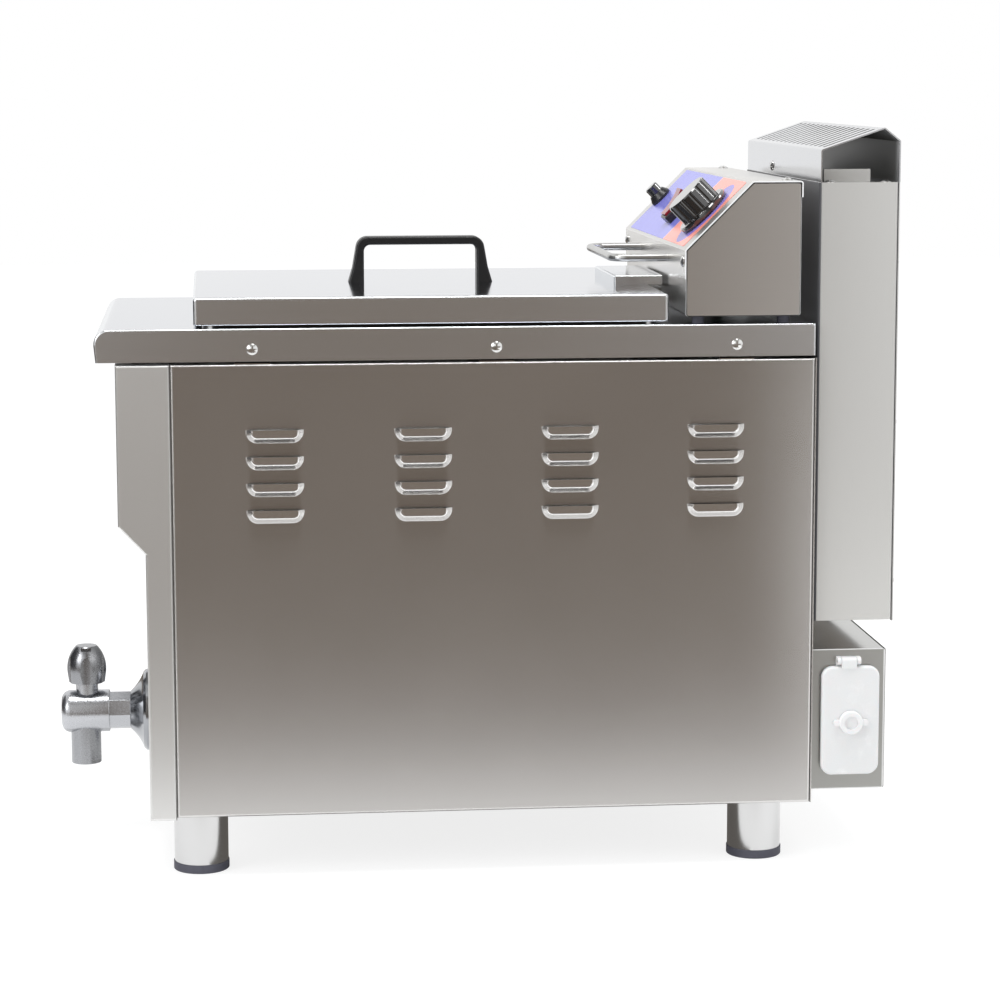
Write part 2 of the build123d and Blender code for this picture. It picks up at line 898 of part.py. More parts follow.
def injector():
    # A hexagonal jet with a short tip.
    start = facing(0, along(burner_mouth_along) + injector_gap + injector_length, burner_axis, (0, -1, 0))
    half = injector_length / 2
    jet = extrude(start * RegularPolygon(injector_radius, 6), amount=half)
    tip = start * Pos(0, 0, half) * Cone(
        injector_base_radius, injector_tip_radius, half, align=(Align.CENTER, Align.CENTER, Align.MIN)
    )
    return jet + tip - bar(start, injector_length, spark_wire_radius)


def igniter_module():
    front = rear_panel_back + sheet
    case = block(
        (igniter_far, igniter_near),
        (front, front + igniter_depth),
        (up(igniter_bottom), up(igniter_bottom + igniter_tall)),
    )
    return fillet(case.edges().filter_by(Axis.Y), bend)


def spark_electrode():
    # A ceramic sleeve held by the rear burner bracket, with its wire turned up to the flame.
    y = along(burner_bracket_rear_along) - burner_bracket_thickness / 2
    z = up(spark_height)
    sleeve = bar(facing(spark_across, y, z, (0, -1, 0)), spark_length, spark_radius)
    sleeve += bar(facing(spark_across, y, z, (0, -1, 0)), spark_flange, spark_flange_radius)
    tip = y - spark_length
    path = FilletPolyline(
        (spark_across, tip, z),
        (spark_across, tip - spark_wire_reach, z),
        (spark_across, tip - spark_wire_reach, z + spark_wire_rise),
        radius=4 * spark_wire_radius,
    )
    return sleeve + rod_along(path, spark_wire_radius)


def ignition_lead():
    start = along(burner_bracket_rear_along) + burner_bracket_thickness / 2
    end = rear_panel_back + sheet
    return bar(facing(spark_across, start, up(spark_height), (0, 1, 0)), end - start, lead_radius)


def flue_body():
    # A folded channel with return flanges, a floor, top flanges and an upstand tab at each end.
    back = flue_back - sheet
    x = flue_half_width
    section = folded(
        (x - flue_flange, back),
        (x, back),
        (x, flue_front),
        (-x, flue_front),
        (-x, back),
        (flue_flange - x, back),
    )
    body = extrude(Pos(0, 0, up(flue_bottom)) * section, amount=flue_top - flue_bottom)
    inner = x - sheet
    y_span = (flue_front + sheet, back - sheet)
    body += block((-inner, inner), y_span, (up(flue_bottom), up(flue_bottom) + sheet))
    tab_y = flue_front + flue_tab_front
    tab_span = (tab_y, tab_y + flue_tab_length)
    top = up(flue_top)
    for side in (-1, 1):
        flange = sorted((side * (inner - flue_flange), side * inner))
        body += block(flange, y_span, (top - sheet, top))
        tab = sorted((side * (inner - flue_flange), side * (inner - flue_flange + sheet)))
        body += block(tab, tab_span, (top - sheet, top + flue_tab_height))
    hole = duct_half_width - sheet
    body -= block(
        (-hole, hole),
        (flue_front, flue_front + sheet),
        (up(duct_bottom) + sheet, up(duct_bottom + duct_height) - sheet),
    )
    body -= [screw_hole(seat) for seat in flue_seats() + cap_base_seats()]
    return body


def flue_rear_cover():
    cover = block(
        (-flue_half_width, flue_half_width),
        (flue_back - sheet, flue_back),
        (up(flue_bottom - flue_cover_drop), up(flue_top)),
    )
    cover = chamfer(cover.faces().sort_by(Axis.Y)[-1].edges().filter_by(Axis.Z), fine_edge)
    return cover - [screw_hole(seat) for seat in flue_seats()]


def cap_points():
    # The cap's outer line from the foot of its front wall, over the ridge, to the foot of its rear wall.
    front = flue_front + cap_front_inset
    base = up(flue_top)
    ridge = (front + cap_ridge_along, base + cap_wall_height + cap_ridge_rise)
    return (
        (front, base),
        (front, base + cap_wall_height),
        ridge,
        (flue_back, base + cap_rear_height),
        (flue_back, base),
    )


def flue_cap():
    # A folded roof, open at both ends, with a row of slots up its front slope.
    points = cap_points()
    cap = across(folded(*points), -flue_half_width, flue_half_width)
    eave, ridge = points[1], points[2]
    run = ridge[0] - eave[0]
    rise = ridge[1] - eave[1]
    length = sqrt(run**2 + rise**2)
    roof = Plane(
        origin=(0, (eave[0] + ridge[0]) / 2, (eave[1] + ridge[1]) / 2), x_dir=(1, 0, 0), z_dir=(0, -rise, run)
    )
    slot = Box(cap_slot_width, length - 2 * cap_slot_margin, 4 * sheet)
    first = -(cap_slots - 1) * cap_slot_pitch / 2
    cap -= [roof * Pos(first + number * cap_slot_pitch, 0, 0) * slot for number in range(cap_slots)]
    return cap - screw_hole(cap_front_seat())


def lid_pan():
    # A downturned pan with a hem that stands on the tank's rim, notched under the rear pocket.
    y_span = (along(lid_front_along), along(lid_rear_along))
    pan = block((-lid_half_width, lid_half_width), y_span, (lid_bottom, lid_top))
    edges = pan.edges().filter_by(lambda edge: edge.center().Z > lid_bottom + sheet)
    pan = fillet(edges, lid_edge)
    pan = fillet(pan.edges().group_by(Axis.Z)[0], hem_edge)
    inner = lid_half_width - sheet
    y_inside = (y_span[0] + sheet, y_span[1] - sheet)
    pan -= block((-inner, inner), y_inside, (lid_bottom + sheet, lid_top - sheet))
    hem = lid_half_width - lid_hem
    pan -= block((-hem, hem), (y_span[0] + lid_hem, y_span[1] - lid_hem), (lid_bottom, lid_bottom + sheet))
    notch = pocket_half_width - 2 * sheet
    pan -= block((-notch, notch), (along(pocket_front_along) + 2 * sheet, y_span[1]), (lid_bottom, lid_top))
    return pan - [screw_hole(seat) for seat in lid_handle_seats()]


def lid_pocket():
    # The raised cover over the notch, open to the rear, that clears the probe's bracket.
    y_span = (along(pocket_front_along), along(pocket_rear_along))
    top = lid_top + pocket_height
    pocket = block((-pocket_half_width, pocket_half_width), y_span, (lid_top, top))
    edges = pocket.edges().filter_by(lambda edge: edge.center().Z > lid_top + sheet)
    pocket = fillet(edges.filter_by(lambda edge: edge.center().Y < y_span[1]), pocket_edge)
    inner = pocket_half_width - sheet
    return pocket - block((-inner, inner), (y_span[0] + sheet, y_span[1]), (lid_top, top - sheet))


def lid_handle_seats():
    # Under the lid's top, below the middle of each leg.
    reach = (handle_length - handle_leg) / 2
    rows = [along(handle_along) + side * reach for side in (-1, 1)]
    return [facing(0, y, lid_top - sheet, (0, 0, -1)) for y in rows]


def lid_handle():
    # A moulded bridge with legs that widen towards the lid and flare at the foot.
    half = handle_length / 2
    top = lid_top + handle_height
    middle = along(handle_along)
    outer = FilletPolyline(
        (middle - half, lid_top),
        (middle - half + handle_flare, lid_top + handle_flare_height),
        (middle - half + handle_lean, top),
        (middle + half - handle_lean, top),
        (middle + half - handle_flare, lid_top + handle_flare_height),
        (middle + half, lid_top),
        radius=handle_corner,
    )
    inner = FilletPolyline(
        (middle + half - handle_leg, lid_top),
        (middle + half - handle_leg, top - handle_grip),
        (middle - half + handle_leg, top - handle_grip),
        (middle - half + handle_leg, lid_top),
        radius=handle_inner_corner,
    )
    face = make_face([outer, Line(outer @ 1, inner @ 0), inner, Line(inner @ 1, outer @ 0)])
    handle = across(face, -handle_depth / 2, handle_depth / 2)
    edges = handle.faces().filter_by(Axis.X).edges().filter_by(lambda edge: edge.center().Z > lid_top + sheet)
    return fillet(edges, handle_round) - [screw_hole(seat) for seat in lid_handle_seats()]


def box_outline(inset, base):
    # The control box's side outline: upright front, sloped face, flat top, upright back.
    diagonal = inset * (sqrt(2) - 1)
    return (
        (box_front + inset, base),
        (box_front + inset, up(box_bend_height) - diagonal),
        (box_front + (box_top - box_bend_height) + diagonal, up(box_top) - inset),
        (box_rear - inset, up(box_top) - inset),
    )


def slope_cut(x, y, shape):
    # A shape cut square through the sloped face.
    return extrude(slope * Pos(x, y, -2 * sheet) * shape, amount=4 * sheet)


def control_holes():
    return [
        slope_cut(knob_across, knob_up, Circle(thermostat_boss_radius + shank_slack)),
        slope_cut(
            rocker_across,
            rocker_up,
            Rectangle(*rocker_body_size(shank_slack)),
        ),
        slope_cut(button_across, button_up, Circle(button_body_radius + shank_slack)),
    ]


def control_panel():
    # One folded sheet: the lip of the front, the sloped face, the top and a short rear lip.
    points = (*box_outline(0, up(box_lip_height)), (box_rear, up(box_top) - front_flange))
    panel = across(folded(*points), -half_width, half_width)
    return panel - control_holes() - [screw_hole(seat) for seat in box_front_seats() + box_top_seats()]


def control_base():
    # The box's floor with its front and rear walls inside the folded panel.
    x = half_width - sheet - box_seam
    front = box_front + sheet
    rear = box_rear - sheet
    section = folded(
        (rear, up(box_top) - front_flange),
        (rear, box_bottom),
        (front, box_bottom),
        (front, up(box_bend_height) - bend),
    )
    base = across(section, -x, x)
    capillary_hole = facing(probe_across, front, box_bottom + capillary_rise, (0, 1, 0))
    base -= bar(capillary_hole, sheet, 2 * capillary_radius)
    return base - [screw_hole(seat) for seat in box_front_seats()]


def control_end(side):
    # A flat end plate just inside the folded panel's edge.
    inset = sheet + box_seam
    points = (*box_outline(inset, box_bottom), (box_rear - inset, box_bottom))
    outer = half_width - box_seam
    span = sorted((side * (outer - sheet), side * outer))
    plate = across(outline(*points), *span)
    plate = fillet(plate.edges().filter_by(Axis.X), bend)
    face = plate.faces().sort_by(Axis.X)[-1 if side > 0 else 0]
    return fillet(face.edges(), plate_edge)


def control_spacers():
    x = half_width - spacer_inset
    places = [(side * x, y) for side in (-1, 1) for y in (box_front + spacer_inset, box_rear - spacer_inset)]
    return group([post(*place, worktop_top, box_bottom, spacer_radius) for place in places])


def control_label():
    # A thin printed overlay on the sloped face.
    length = slope_length - 2 * label_margin
    film = extrude(
        slope * Pos(0, slope_length / 2) * RectangleRounded(2 * label_half_width, length, label_corner),
        amount=label_thickness,
    )
    return film - control_holes()


def thermostat_knob():
    # A fluted grip on a wide skirt, hollow behind, with a bore for the shaft.
    place = slope * Pos(knob_across, knob_up, label_thickness + knob_gap)
    base = (Align.CENTER, Align.CENTER, Align.MIN)
    skirt = Cylinder(knob_skirt_radius, knob_skirt_height, align=base)
    skirt = chamfer(skirt.edges().group_by(Axis.Z)[-1], knob_skirt_height / 4)
    grip = Cylinder(knob_grip_radius, knob_height, align=base)
    grip = chamfer(grip.edges().group_by(Axis.Z)[-1], knob_gap)
    flute = Pos(knob_grip_radius + knob_flute_radius / 2, 0, knob_skirt_height) * Cylinder(
        knob_flute_radius, knob_height, align=base
    )
    grip -= [Rot(Z=360 * number / knob_flutes) * flute for number in range(knob_flutes)]
    bore = Cylinder(shaft_radius + running_clearance, knob_height - knob_skirt_height, align=base)
    return place * (skirt + grip - bore)


def thermostat_shaft():
    low = shaft_end_gap - sheet - thermostat_depth / 2
    high = label_thickness + knob_gap + knob_height - knob_skirt_height
    return bar(slope * Plane(origin=(knob_across, knob_up, low)), high - low, shaft_radius)


def thermostat_body():
    # A round switch body behind the face, with a bush that comes through it.
    seat = slope * Plane(origin=(knob_across, knob_up, -sheet - thermostat_depth))
    body = bar(seat, thermostat_depth, thermostat_radius)
    body += bar(seat, thermostat_depth + sheet, thermostat_boss_radius)
    bore_start = slope * Plane(origin=(knob_across, knob_up, -sheet - thermostat_depth / 2))
    return body - bar(bore_start, thermostat_depth, shaft_radius + running_clearance)


def rocker_place():
    return slope * Pos(rocker_across, rocker_up, label_thickness)


def rocker_body_size(grow):
    inset = 2 * (rocker_body_inset - grow)
    return rocker_bezel_width - inset, rocker_bezel_length - inset


def rocker_bezel():
    # A snap-in switch body with a raised rim round the rocker.
    rim = extrude(RectangleRounded(rocker_bezel_width, rocker_bezel_length, bend), amount=rocker_bezel_height)
    rim = chamfer(rim.edges().group_by(Axis.Z)[-1], fine_edge)
    body = extrude(Rectangle(*rocker_body_size(0)), amount=-rocker_depth)
    wide = rocker_bezel_width - 2 * rocker_side_wall
    pocket = block(
        (-wide / 2, wide / 2),
        (rocker_end_wall - rocker_bezel_length / 2, rocker_bezel_length / 2 - rocker_end_wall),
        (-rocker_pocket_depth, rocker_bezel_height),
    )
    reach = wide + 2 * (rocker_pin_reach + rocker_pin_end_gap)
    hole = Pos(0, 0, rocker_pivot_rise) * Rot(Y=90) * Cylinder(rocker_pin_radius + running_clearance, reach)
    return rocker_place() * (rim + body - pocket - hole)


def rocker():
    # The red rocker: dished on top, round below, on two stub pins.
    wide = rocker_bezel_width - 2 * rocker_side_wall
    ends = (rocker_top_half, rocker_crown)
    top = ThreePointArc((-ends[0], ends[1]), (0, rocker_crown - rocker_dish), ends)
    keel = ThreePointArc((rocker_half_length, 0), (0, -rocker_keel), (-rocker_half_length, 0))
    face = make_face([top, Line(top @ 1, keel @ 0), keel, Line(keel @ 1, top @ 0)])
    body = across(face, rocker_slack - wide / 2, wide / 2 - rocker_slack)
    body += Rot(Y=90) * Cylinder(rocker_pin_radius, wide + 2 * rocker_pin_reach)
    return rocker_place() * Pos(0, 0, rocker_pivot_rise) * Rot(X=rocker_tilt) * body


def button_place():
    return slope * Pos(button_across, button_up, label_thickness)


def button_collar():
    # A flared collar on the face, with a threaded body behind it.
    flare = outline(
        (0, 0),
        (button_collar_radius, 0),
        (button_collar_radius, button_flange_height),
        (button_radius + sheet, button_collar_height),
        (0, button_collar_height),
    )
    collar = revolve(Plane.XZ * flare, Axis.Z)
    collar += Cylinder(button_body_radius, button_body_depth, align=(Align.CENTER, Align.CENTER, Align.MAX))
    bore = Cylinder(
        button_radius + running_clearance,
        button_body_depth + 2 * button_collar_height,
        align=(Align.CENTER, Align.CENTER, Align.CENTER),
    )
    floor = Pos(0, 0, -button_body_depth) * Cylinder(
        button_body_radius, sheet, align=(Align.CENTER, Align.CENTER, Align.MIN)
    )
    return button_place() * (collar - bore + floor)


def ignition_button():
    plunger = Pos(0, 0, -button_stem_depth) * Cylinder(
        button_radius, button_height + button_stem_depth, align=(Align.CENTER, Align.CENTER, Align.MIN)
    )
    plunger = chamfer(plunger.edges().group_by(Axis.Z)[-1], fine_edge)
    return button_place() * plunger


def basket_hanger():
    # A bent rod loop that stands out of the control box's front.
    z = up(hanger_height)
    front = box_front - hanger_reach
    path = FilletPolyline(
        (-hanger_half_width, box_front, z),
        (-hanger_half_width, front, z),
        (hanger_half_width, front, z),
        (hanger_half_width, box_front, z),
        radius=hanger_corner,
    )
    return rod_along(path, hanger_rod)


def bracket_face():
    # Where the bracket's hanging leaf faces the oil.
    return along(tank_rear_along) - bracket_standoff - bracket_thickness


def probe_bracket():
    # A folded strip from the control box, over the tank's rim and down its rear wall.
    z = worktop_top + bracket_height
    wall = box_front + sheet
    back = bracket_face() + bracket_thickness
    points = ((wall, z + bracket_upturn), (wall, z), (back, z), (back, z - bracket_depth))
    line = FilletPolyline(*points, radius=bend)
    section = make_face(offset(line, amount=bracket_thickness, side=Side.RIGHT))
    return across(section, -bracket_half_width, bracket_half_width)


def thermostat_probe():
    # The bulb on the bracket's leaf and the capillary that runs back to the thermostat.
    y = bracket_face() - probe_radius
    low = worktop_top + bracket_height - bracket_depth
    high = low + probe_length
    bulb = post(probe_across, y, low, high, probe_radius)
    bulb = chamfer(bulb.edges().group_by(Axis.Z)[0], sheet)
    z = box_bottom + capillary_rise
    back = (slope * Pos(knob_across, knob_up, -sheet - thermostat_depth)).position
    path = FilletPolyline(
        (probe_across, y, high),
        (probe_across, y, z),
        (probe_across, back.Y, z),
        (knob_across, back.Y, z),
        (knob_across, back.Y, back.Z - capillary_radius),
        radius=capillary_bend,
    )
    return bulb + rod_along(path, capillary_radius)


def tap_body():
    # Barrel, hexagon, upright bonnet and outlet in one casting, bored through.
    start = facing(0, tap_tip, tap_axis_height, (0, 1, 0))
    barrel = bar(start, tap_barrel_length, tap_barrel_radius)
    barrel = fillet(barrel.edges().sort_by(Axis.Y)[0], tap_dome)
    hexagon_start = facing(0, tap_tip + tap_barrel_length, tap_axis_height, (0, 1, 0))
    hexagon = extrude(hexagon_start * RegularPolygon(tap_hex_corner, 6), amount=tap_hex_length)
    neck = tap_barrel_length + tap_hex_length
    spigot = bar(facing(0, tap_tip + neck, tap_axis_height, (0, 1, 0)), tap_spigot_length, tap_spigot_radius)
    outlet = post(0, tap_outlet_y, tap_axis_height - tap_outlet_drop, tap_axis_height, tap_outlet_radius)
    outlet = chamfer(outlet.edges().group_by(Axis.Z)[0], fine_edge)
    bonnet = post(0, tap_stem_y, tap_axis_height, tap_axis_height + tap_bonnet_rise, tap_bonnet_radius)
    body = barrel + hexagon + spigot + outlet + bonnet
    body -= bar(facing(0, tap_outlet_y, tap_axis_height, (0, 1, 0)), tap_reach, tap_bore)
    body -= post(0, tap_outlet_y, tap_axis_height - tap_outlet_drop, tap_axis_height, tap_outlet_bore)
    return body - post(
        0, tap_stem_y, tap_axis_height, tap_axis_height + tap_bonnet_rise, tap_stem_radius + running_clearance
    )


def tap_escutcheon():
    # A bell-shaped cover between the hexagon and the front panel.
    panel = cabinet_front - front_lower_depth
    small = tap_tip + tap_barrel_length + tap_hex_length
    z = tap_axis_height
    bore = tap_spigot_radius + shank_slack
    flare = ThreePointArc(
        (panel - escutcheon_rim, z + escutcheon_radius - escutcheon_step),
        (small + escutcheon_waist_back, z + escutcheon_waist),
        (small, z + escutcheon_small),
    )
    edge = Polyline(
        flare @ 1,
        (small, z + bore),
        (panel, z + bore),
        (panel, z + escutcheon_radius),
        (panel - escutcheon_lip, z + escutcheon_radius),
        flare @ 0,
    )
    return revolve(Plane.YZ * make_face([flare, edge]), Axis((0, 0, z), (0, 1, 0)))


def tap_handle():
    # A bell-shaped, lobed hand wheel, hollow below, with a slot in its flat top.
    base = tap_axis_height + tap_handle_rise
    wide = tap_axis_height + tap_handle_wide_at
    top = tap_axis_height + tap_handle_top
    bell = ThreePointArc(
        (tap_handle_radius, wide),
        (tap_handle_belly, tap_axis_height + tap_handle_belly_at),
        (tap_handle_top_radius, top - sheet),
    )
    edge = Polyline(
        bell @ 1,
        (tap_handle_top_radius - sheet, top),
        (0, top),
        (0, base),
        (tap_handle_radius - sheet, base),
        bell @ 0,
    )
    wheel = revolve(Plane.XZ * make_face([bell, edge]), Axis.Z)
    scallop = Pos(tap_handle_scallop_out, 0, base) * Cylinder(
        tap_handle_scallop, tap_handle_wide_at, align=(Align.CENTER, Align.CENTER, Align.MIN)
    )
    wheel -= [Rot(Z=360 * number / tap_handle_lobes) * scallop for number in range(tap_handle_lobes)]
    wheel -= post(0, 0, base, wide, tap_bonnet_radius + tap_handle_wall / 2)
    wheel -= post(0, 0, base, top - 2 * tap_handle_wall, tap_stem_radius + running_clearance)
    half = tap_handle_notch / 2
    notch_span = (top - 2 * tap_handle_wall, top - sheet)
    wheel -= block((tap_handle_notch_in, tap_handle_radius), (-half, half), notch_span)
    return Pos(0, tap_stem_y, 0) * wheel


def tap_stem():
    top = tap_axis_height + tap_handle_top - 2 * tap_handle_wall
    return post(0, tap_stem_y, tap_axis_height + tap_bore, top, tap_stem_radius)


def rear_box():
    # A folded channel under the flue with rear flanges and end walls, cut for the battery case and gas inlet.
    front = rear_panel_back
    back = rear_panel_back + rear_box_depth - sheet
    low = up(rear_box_bottom)
    high = up(rear_box_top)
    section = folded(
        (back, low + rear_box_flange),
        (back, low),
        (front, low),
        (front, high),
        (back, high),
        (back, high - rear_box_flange),
    )
    box = across(section, rear_box_far, rear_box_near)
    end = Pos((front + back) / 2, (low + high) / 2) * RectangleRounded(back - front, high - low, bend)
    box += across(end, rear_box_far, rear_box_far + sheet)
    box += across(end, rear_box_near - sheet, rear_box_near)
    half_wide = case_width / 2
    half_tall = case_tall / 2
    box -= block(
        (rear_box_near - sheet, rear_box_near),
        (battery_y - half_wide, battery_y + half_wide),
        (battery_z - half_tall, battery_z + half_tall),
    )
    inlet_y = rear_panel_back + sheet + valve_depth / 2
    inlet_start = facing(rear_box_far - sheet, inlet_y, burner_axis, (1, 0, 0))
    box -= bar(inlet_start, 3 * sheet, inlet_radius + inlet_hole_slack)
    box -= bar(facing(0, front - sheet, burner_axis, (0, 1, 0)), 3 * sheet, gas_hole_radius)
    box -= bar(facing(spark_across, front - sheet, up(spark_height), (0, 1, 0)), 3 * sheet, lead_hole_radius)
    return box - [screw_hole(seat) for seat in rear_box_seats()]


def rear_box_cover():
    back = rear_panel_back + rear_box_depth
    z_span = (up(rear_box_bottom), up(rear_box_top))
    cover = block((rear_box_far, rear_box_near), (back - sheet, back), z_span)
    cover = chamfer(cover.faces().sort_by(Axis.Y)[-1].edges(), fine_edge)
    return cover - [screw_hole(seat) for seat in rear_box_seats()]


def cover_plate(x, thickness, grow):
    # The battery cover's rounded plate, drawn in the length and height plane.
    plan = RectangleRounded(cover_width + 2 * grow, cover_tall + 2 * grow, cover_corner + grow)
    return across(Pos(battery_y, battery_z) * plan, x, x + thickness)


def battery_case():
    # A moulded pocket in the box's side, with a rim outside and two ears for the cover's hinge.
    half_wide = case_width / 2
    half_tall = case_tall / 2
    y_span = (battery_y - half_wide, battery_y + half_wide)
    z_span = (battery_z - half_tall, battery_z + half_tall)
    case = block((rear_box_near - case_depth, rear_box_near), y_span, z_span)
    case += cover_plate(rear_box_near, case_rim, -sheet)
    half = hinge_length / 2
    ears = across(
        Pos(hinge_y, hinge_z - hinge_radius) * Rectangle(hinge_length, 4 * hinge_radius),
        rear_box_near,
        rear_box_near + case_rim,
    )
    for side in (-1, 1):
        outer = hinge_y + side * half
        span = sorted((outer, outer - side * hinge_ear))
        ears += bar(facing(hinge_x, outer, hinge_z, (0, -side, 0)), hinge_ear, hinge_radius)
        ears += block((rear_box_near, hinge_x), span, (hinge_z - hinge_radius, hinge_z + hinge_radius))
    case += ears
    case -= block(
        (rear_box_near - case_depth + case_wall, rear_box_near + case_rim),
        (y_span[0] + case_wall, y_span[1] - case_wall),
        (z_span[0] + case_wall, z_span[1] - case_wall),
    )
    return case - bar(facing(hinge_x, hinge_y - half, hinge_z, (0, 1, 0)), hinge_length, hinge_pin_radius)


def battery_hinge_pin():
    start = facing(hinge_x, hinge_y - hinge_length / 2, hinge_z, (0, 1, 0))
    return bar(start, hinge_length, hinge_pin_radius)


def battery_contacts():
    # A contact plate at each end of the pocket.
    half = case_tall / 2 - case_wall
    middle = rear_box_near - case_depth / 2
    x_span = (middle - contact_size / 2, middle + contact_size / 2)
    y_span = (battery_y - contact_size / 2, battery_y + contact_size / 2)
    low = (battery_z - half, battery_z - half + contact_thickness)
    high = (battery_z + half - contact_thickness, battery_z + half)
    return group([block(x_span, y_span, low), block(x_span, y_span, high)])


def battery_cover():
    # A rounded cover that swings up on a knuckle at its top edge.
    x = rear_box_near + case_rim + cover_gap
    cover = cover_plate(x, cover_thickness, 0)
    cover = fillet(cover.faces().sort_by(Axis.X)[-1].edges(), cover_edge)
    half = hinge_length / 2 - hinge_ear - hinge_slack
    axis = facing(hinge_x, hinge_y - half, hinge_z, (0, 1, 0))
    cover += bar(axis, 2 * half, hinge_radius)
    knuckle_span = (hinge_y - half, hinge_y + half)
    cover += block((x, hinge_x + hinge_radius), knuckle_span, (hinge_z - 2 * hinge_radius, hinge_z))
    cover -= bar(axis, 2 * half, hinge_pin_radius + running_clearance)
    shank_start = facing(x, battery_y, battery_z - latch_drop, (1, 0, 0))
    return cover - bar(shank_start, cover_thickness, latch_shank_radius + running_clearance)


def battery_latch():
    # A round turn button with two wings, on a shank through the cover.
    face = rear_box_near + case_rim + cover_gap + cover_thickness + latch_lift
    z = battery_z - latch_drop
    start = facing(face, battery_y, z, (1, 0, 0))
    disc = bar(start, latch_height, latch_radius)
    disc = fillet(disc.edges().sort_by(Axis.X)[-1], latch_edge)
    wing_plan = Pos(battery_y, z) * SlotOverall(2 * latch_wing, latch_wing_width)
    wings = across(wing_plan, face, face + latch_wing_height)
    shank = bar(facing(face, battery_y, z, (-1, 0, 0)), latch_shank_length, latch_shank_radius)
    recess_start = facing(face + latch_height - latch_recess_depth, battery_y, z, (1, 0, 0))
    recess = bar(recess_start, latch_recess_depth, latch_recess)
    return disc + wings + shank - recess


for name, x, y in foot_places():
    write(f"foot_{name}", foot_tube(x, y))

write("foot_caps", group([foot_cap(x, y) for name, x, y in foot_places()]))
right_panel = side_panel()
write("side_panel_right", right_panel)
write("side_panel_left", mirror(right_panel, about=Plane.YZ))
write("front_panel", front_panel())
write("rear_panel", rear_panel())
write("base_tray", base_tray())
write("worktop", worktop())
write("oil_tank", oil_tank())
write("combustion_jacket", combustion_jacket())
write("flue_duct", flue_duct())
write("burner", burner())
bracket_rows = (burner_bracket_front_along, burner_bracket_rear_along)
write("burner_brackets", group([burner_bracket(row) for row in bracket_rows]))
write("gas_valve", gas_valve())
write("gas_inlet", gas_inlet())
write("gas_pipe", gas_pipe())
write("injector", injector())
write("igniter_module", igniter_module())
write("spark_electrode", spark_electrode())
write("ignition_lead", ignition_lead())
write("drain_pipe", drain_pipe())
write("flue_body", flue_body())
write("flue_rear_cover", flue_rear_cover())
write("flue_cap", flue_cap())
write("lid_pan", lid_pan())
write("lid_pocket", lid_pocket())
write("lid_handle", lid_handle())
write("lid_handle_screws", group([screw(seat) for seat in lid_handle_seats()]))
write("control_panel", control_panel())
write("control_base", control_base())
write("control_end_right", control_end(1))
write("control_end_left", control_end(-1))
write("control_spacers", control_spacers())
write("control_label", control_label())
write("thermostat_body", thermostat_body())
write("thermostat_shaft", thermostat_shaft())
write("thermostat_knob", thermostat_knob())
write("thermostat_probe", thermostat_probe())
write("probe_bracket", probe_bracket())
write("rocker_bezel", rocker_bezel())
write("rocker", rocker())
write("button_collar", button_collar())
write("ignition_button", ignition_button())
write("basket_hanger", basket_hanger())
write("tap_body", tap_body())
write("tap_escutcheon", tap_escutcheon())
write("tap_stem", tap_stem())
write("tap_handle", tap_handle())
write("rear_box", rear_box())
write("rear_box_cover", rear_box_cover())
write("battery_case", battery_case())
write("battery_contacts", battery_contacts())
write("battery_hinge_pin", battery_hinge_pin())
write("battery_cover", battery_cover())
write("battery_latch", battery_latch())
panel_seats = skirt_seats(1) + skirt_seats(-1) + flue_seats() + cap_base_seats() + [cap_front_seat()]
panel_seats += box_front_seats() + box_top_seats() + rear_box_seats()
write("panel_screws", group([screw(seat) for seat in panel_seats]))
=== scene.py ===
import math
import bpy
from mathutils import Matrix, Vector


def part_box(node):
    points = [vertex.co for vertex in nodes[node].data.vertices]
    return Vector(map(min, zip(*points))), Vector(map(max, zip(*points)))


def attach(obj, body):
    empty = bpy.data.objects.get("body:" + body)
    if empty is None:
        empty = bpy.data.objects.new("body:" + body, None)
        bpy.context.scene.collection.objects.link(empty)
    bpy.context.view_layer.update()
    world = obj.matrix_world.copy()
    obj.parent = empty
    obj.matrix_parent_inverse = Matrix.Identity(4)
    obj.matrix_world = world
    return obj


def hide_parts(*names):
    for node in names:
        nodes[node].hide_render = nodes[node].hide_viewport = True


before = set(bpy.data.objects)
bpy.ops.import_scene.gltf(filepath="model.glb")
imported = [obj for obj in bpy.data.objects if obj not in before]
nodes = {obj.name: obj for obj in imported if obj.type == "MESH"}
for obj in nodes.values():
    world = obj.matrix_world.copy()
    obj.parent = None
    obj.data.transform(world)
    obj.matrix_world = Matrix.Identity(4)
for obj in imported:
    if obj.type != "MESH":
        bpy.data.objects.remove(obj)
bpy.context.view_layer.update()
print("fryer loaded:", len(nodes), "nodes")


